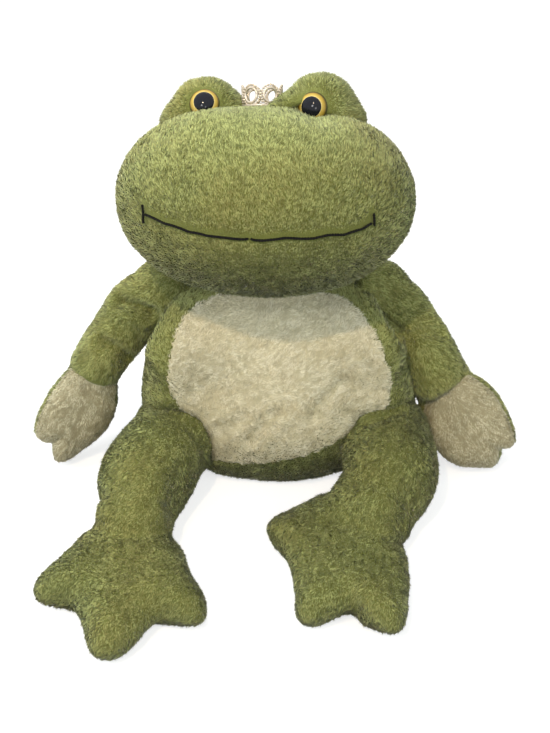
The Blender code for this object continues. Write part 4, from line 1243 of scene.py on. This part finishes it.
def kindOf(node):
    if node.startswith("palm"):
        return "palm"
    return "cream" if node == "belly_patch" else "green"


def settleCover(cover, node):
    coverOf[node] = cover
    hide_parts(node, *([wholeLegs[node]] if node in wholeLegs else []))
    rideOn(cover, node)
    coverTree[node] = treeOf(cover)


coverOf, coverTree = {}, {}
for part, look in coverLooks.items():
    for node in [part] if part in nodes else [f"{part}_{side}" for side in sides]:
        settleCover(makeCover(node, look, clothFinish[kindOf(node)]), node)
settleCover(makePatch(coverOf["torso"], clothFinish["cream"]), "belly_patch")
print("covers stuffed")

headTree = coverTree["head"]
mouthThread, mouthLines = makeMouth(headTree, threadFinish)
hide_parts("mouth_stitch")
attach(mouthThread, "head")
eyePlaces = {side: makeEye(side, {"iris": irisFinish, "pupil": pupilFinish}) for side in sides}
ringCrown, crownMiddle = makeCrown(headTree, crownFinish)
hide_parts("crown")
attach(ringCrown, "head")
print("face made")


def shapeHead(roots, length, nap, lean):  # the pile is pressed along the mouth and round the crown
    for line in mouthLines:
        distance, away = nearestOnLine(roots, line)
        share = np.clip((distance - 0.0009) / mouth["groove"], 0, 1)
        length = length * (0.30 + 0.70 * share)
        press = (1 - share)[:, None]
        nap = unit(nap * (1 - press) + unit(away) * press + 1e-9)
    middle = np.array(crownMiddle)
    near = np.abs(np.linalg.norm(roots - middle, axis=1) - crown["radius"]) < 0.0022
    length[near & (roots[:, 2] > middle[2] - 0.02)] *= 0.45
    return length, nap, lean


def shapeMound(side):
    place = np.array(eyePlaces[side].translation)
    way = np.array(eyePlaces[side].to_3x3().col[2])

    def shape(roots, length, nap, lean):
        gap = roots - place
        depth = gap @ way
        reach = np.linalg.norm(gap - depth[:, None] * way, axis=1)
        front = depth > -0.006
        share = np.clip((reach - eyeLook["radius"] - eyeLook["bare"]) / eyeLook["pressed"], 0, 1)
        length = np.where(front, length * (0.40 + 0.60 * share), length)
        length[front & (reach < eyeLook["radius"] + eyeLook["bare"])] = 0.0
        lean = np.where(front, lean - 0.35 * (1 - share), lean)
        return length, nap, lean

    return shape


def pileLookOf(node):
    side = "left" if node.endswith("left") else "right"
    sign = -1 if side == "left" else 1
    if node == "head":
        return {"nap": towards((0.0, 0.60, 1.0)), "shape": shapeHead, "swirl": 0.8}
    if node.startswith("eye_mound"):
        away = awayFrom(eyePlaces[side].translation)
        # tone -0.30 is painted shade on the eye mounds
        return {"nap": away, "shape": shapeMound(side), "lean": 40.0, "tone": -0.30}
    if node == "torso":
        # tone 0.24 is painted light on the torso
        return {"nap": towards((0.0, 0.1, 1.0)), "tone": 0.24}
    if node == "belly_patch":
        return {"nap": towards((0.7, -0.2, 0.8)), "density": 1.1, "swirl": 1.3, "lift": patch["lift"]}
    if node.startswith("palm"):
        return {"nap": towards((sign * 0.5, -0.3, -0.9)), "length": 0.0020, "density": 1.1, "swirl": 0.8}
    if node.startswith("arm"):
        # tone -0.04 is painted shade on the arms
        return {"nap": towards((sign * 0.6, -0.2, -0.8)), "tone": -0.04, "swirl": 0.7}
    # tone -0.12 below is painted shade on the legs and feet
    across = -0.42 if side == "left" else -0.35
    return {"nap": towards((across, -1.0, -0.1)), "tone": -0.12, "swirl": 0.7}


def makePile(node, seed):
    cover = coverOf["torso" if node == "belly_patch" else node]  # the patch lies on the torso's cover
    body = bodyOf[node]
    still = [Matrix.Identity(4)]
    turns = still if node.startswith(("eye_mound", "palm")) else limitTurns(body)
    thick = [other for other in coverOf if other != node and other not in panelNodes]
    own = [(coverTree[other], still) for other in thick if bodyOf[other] == body]
    rest = []
    for other in thick:
        if bodyOf[other] != body:
            rest.append((coverTree[other], [turn.inverted() for turn in limitTurns(bodyOf[other])]))
    hidden = hiddenFaces(cover, own, still, pile["panelDepth" if node in panelNodes else "hiddenDepth"])
    hidden |= hiddenFaces(cover, rest, turns, pile["hiddenDepth"])
    if node in ("torso", "belly_patch"):
        creamy = np.array([face.material_index == 1 for face in cover.data.polygons])
        hidden |= creamy if node == "torso" else ~creamy
    elif node in palmOf:
        hidden |= underPanel(cover, coverTree[palmOf[node]])
    look = pileLookOf(node)
    look["seed"] = seed
    corners, shading, tone, band, ups = growPile(cover, hidden, look)
    chosenOf = {kindOf(node): np.full(len(corners), True)}
    if node in ("torso", "belly_patch"):
        creamy = insideEdge(pixelsOf(corners[:, 1]), patchEdge) & facing(ups)
        chosenOf = {"cream": creamy, "green": ~creamy}
    for kind, chosen in chosenOf.items():
        order = np.flatnonzero(chosen)
        order = order[np.argsort(corners[order, 0, 0], kind="stable")]
        pieces = math.ceil(len(order) / pile["mostStrands"])
        for index, rows in enumerate(np.array_split(order, pieces) if pieces else []):
            rows = np.sort(rows)
            name = f"{node.replace('_', '')}{kind.title()}Pile{index + 1}"
            piece = strandMesh(name, corners[rows], shading[rows], tone[rows], band[rows], pileFinish[kind])
            rideOn(piece, node)
    print("pile grown on", node, len(corners), "strands")


for seed, node in enumerate(coverOf):
    makePile(node, seed + 1)

bpy.context.scene.view_settings.view_transform = "Standard"
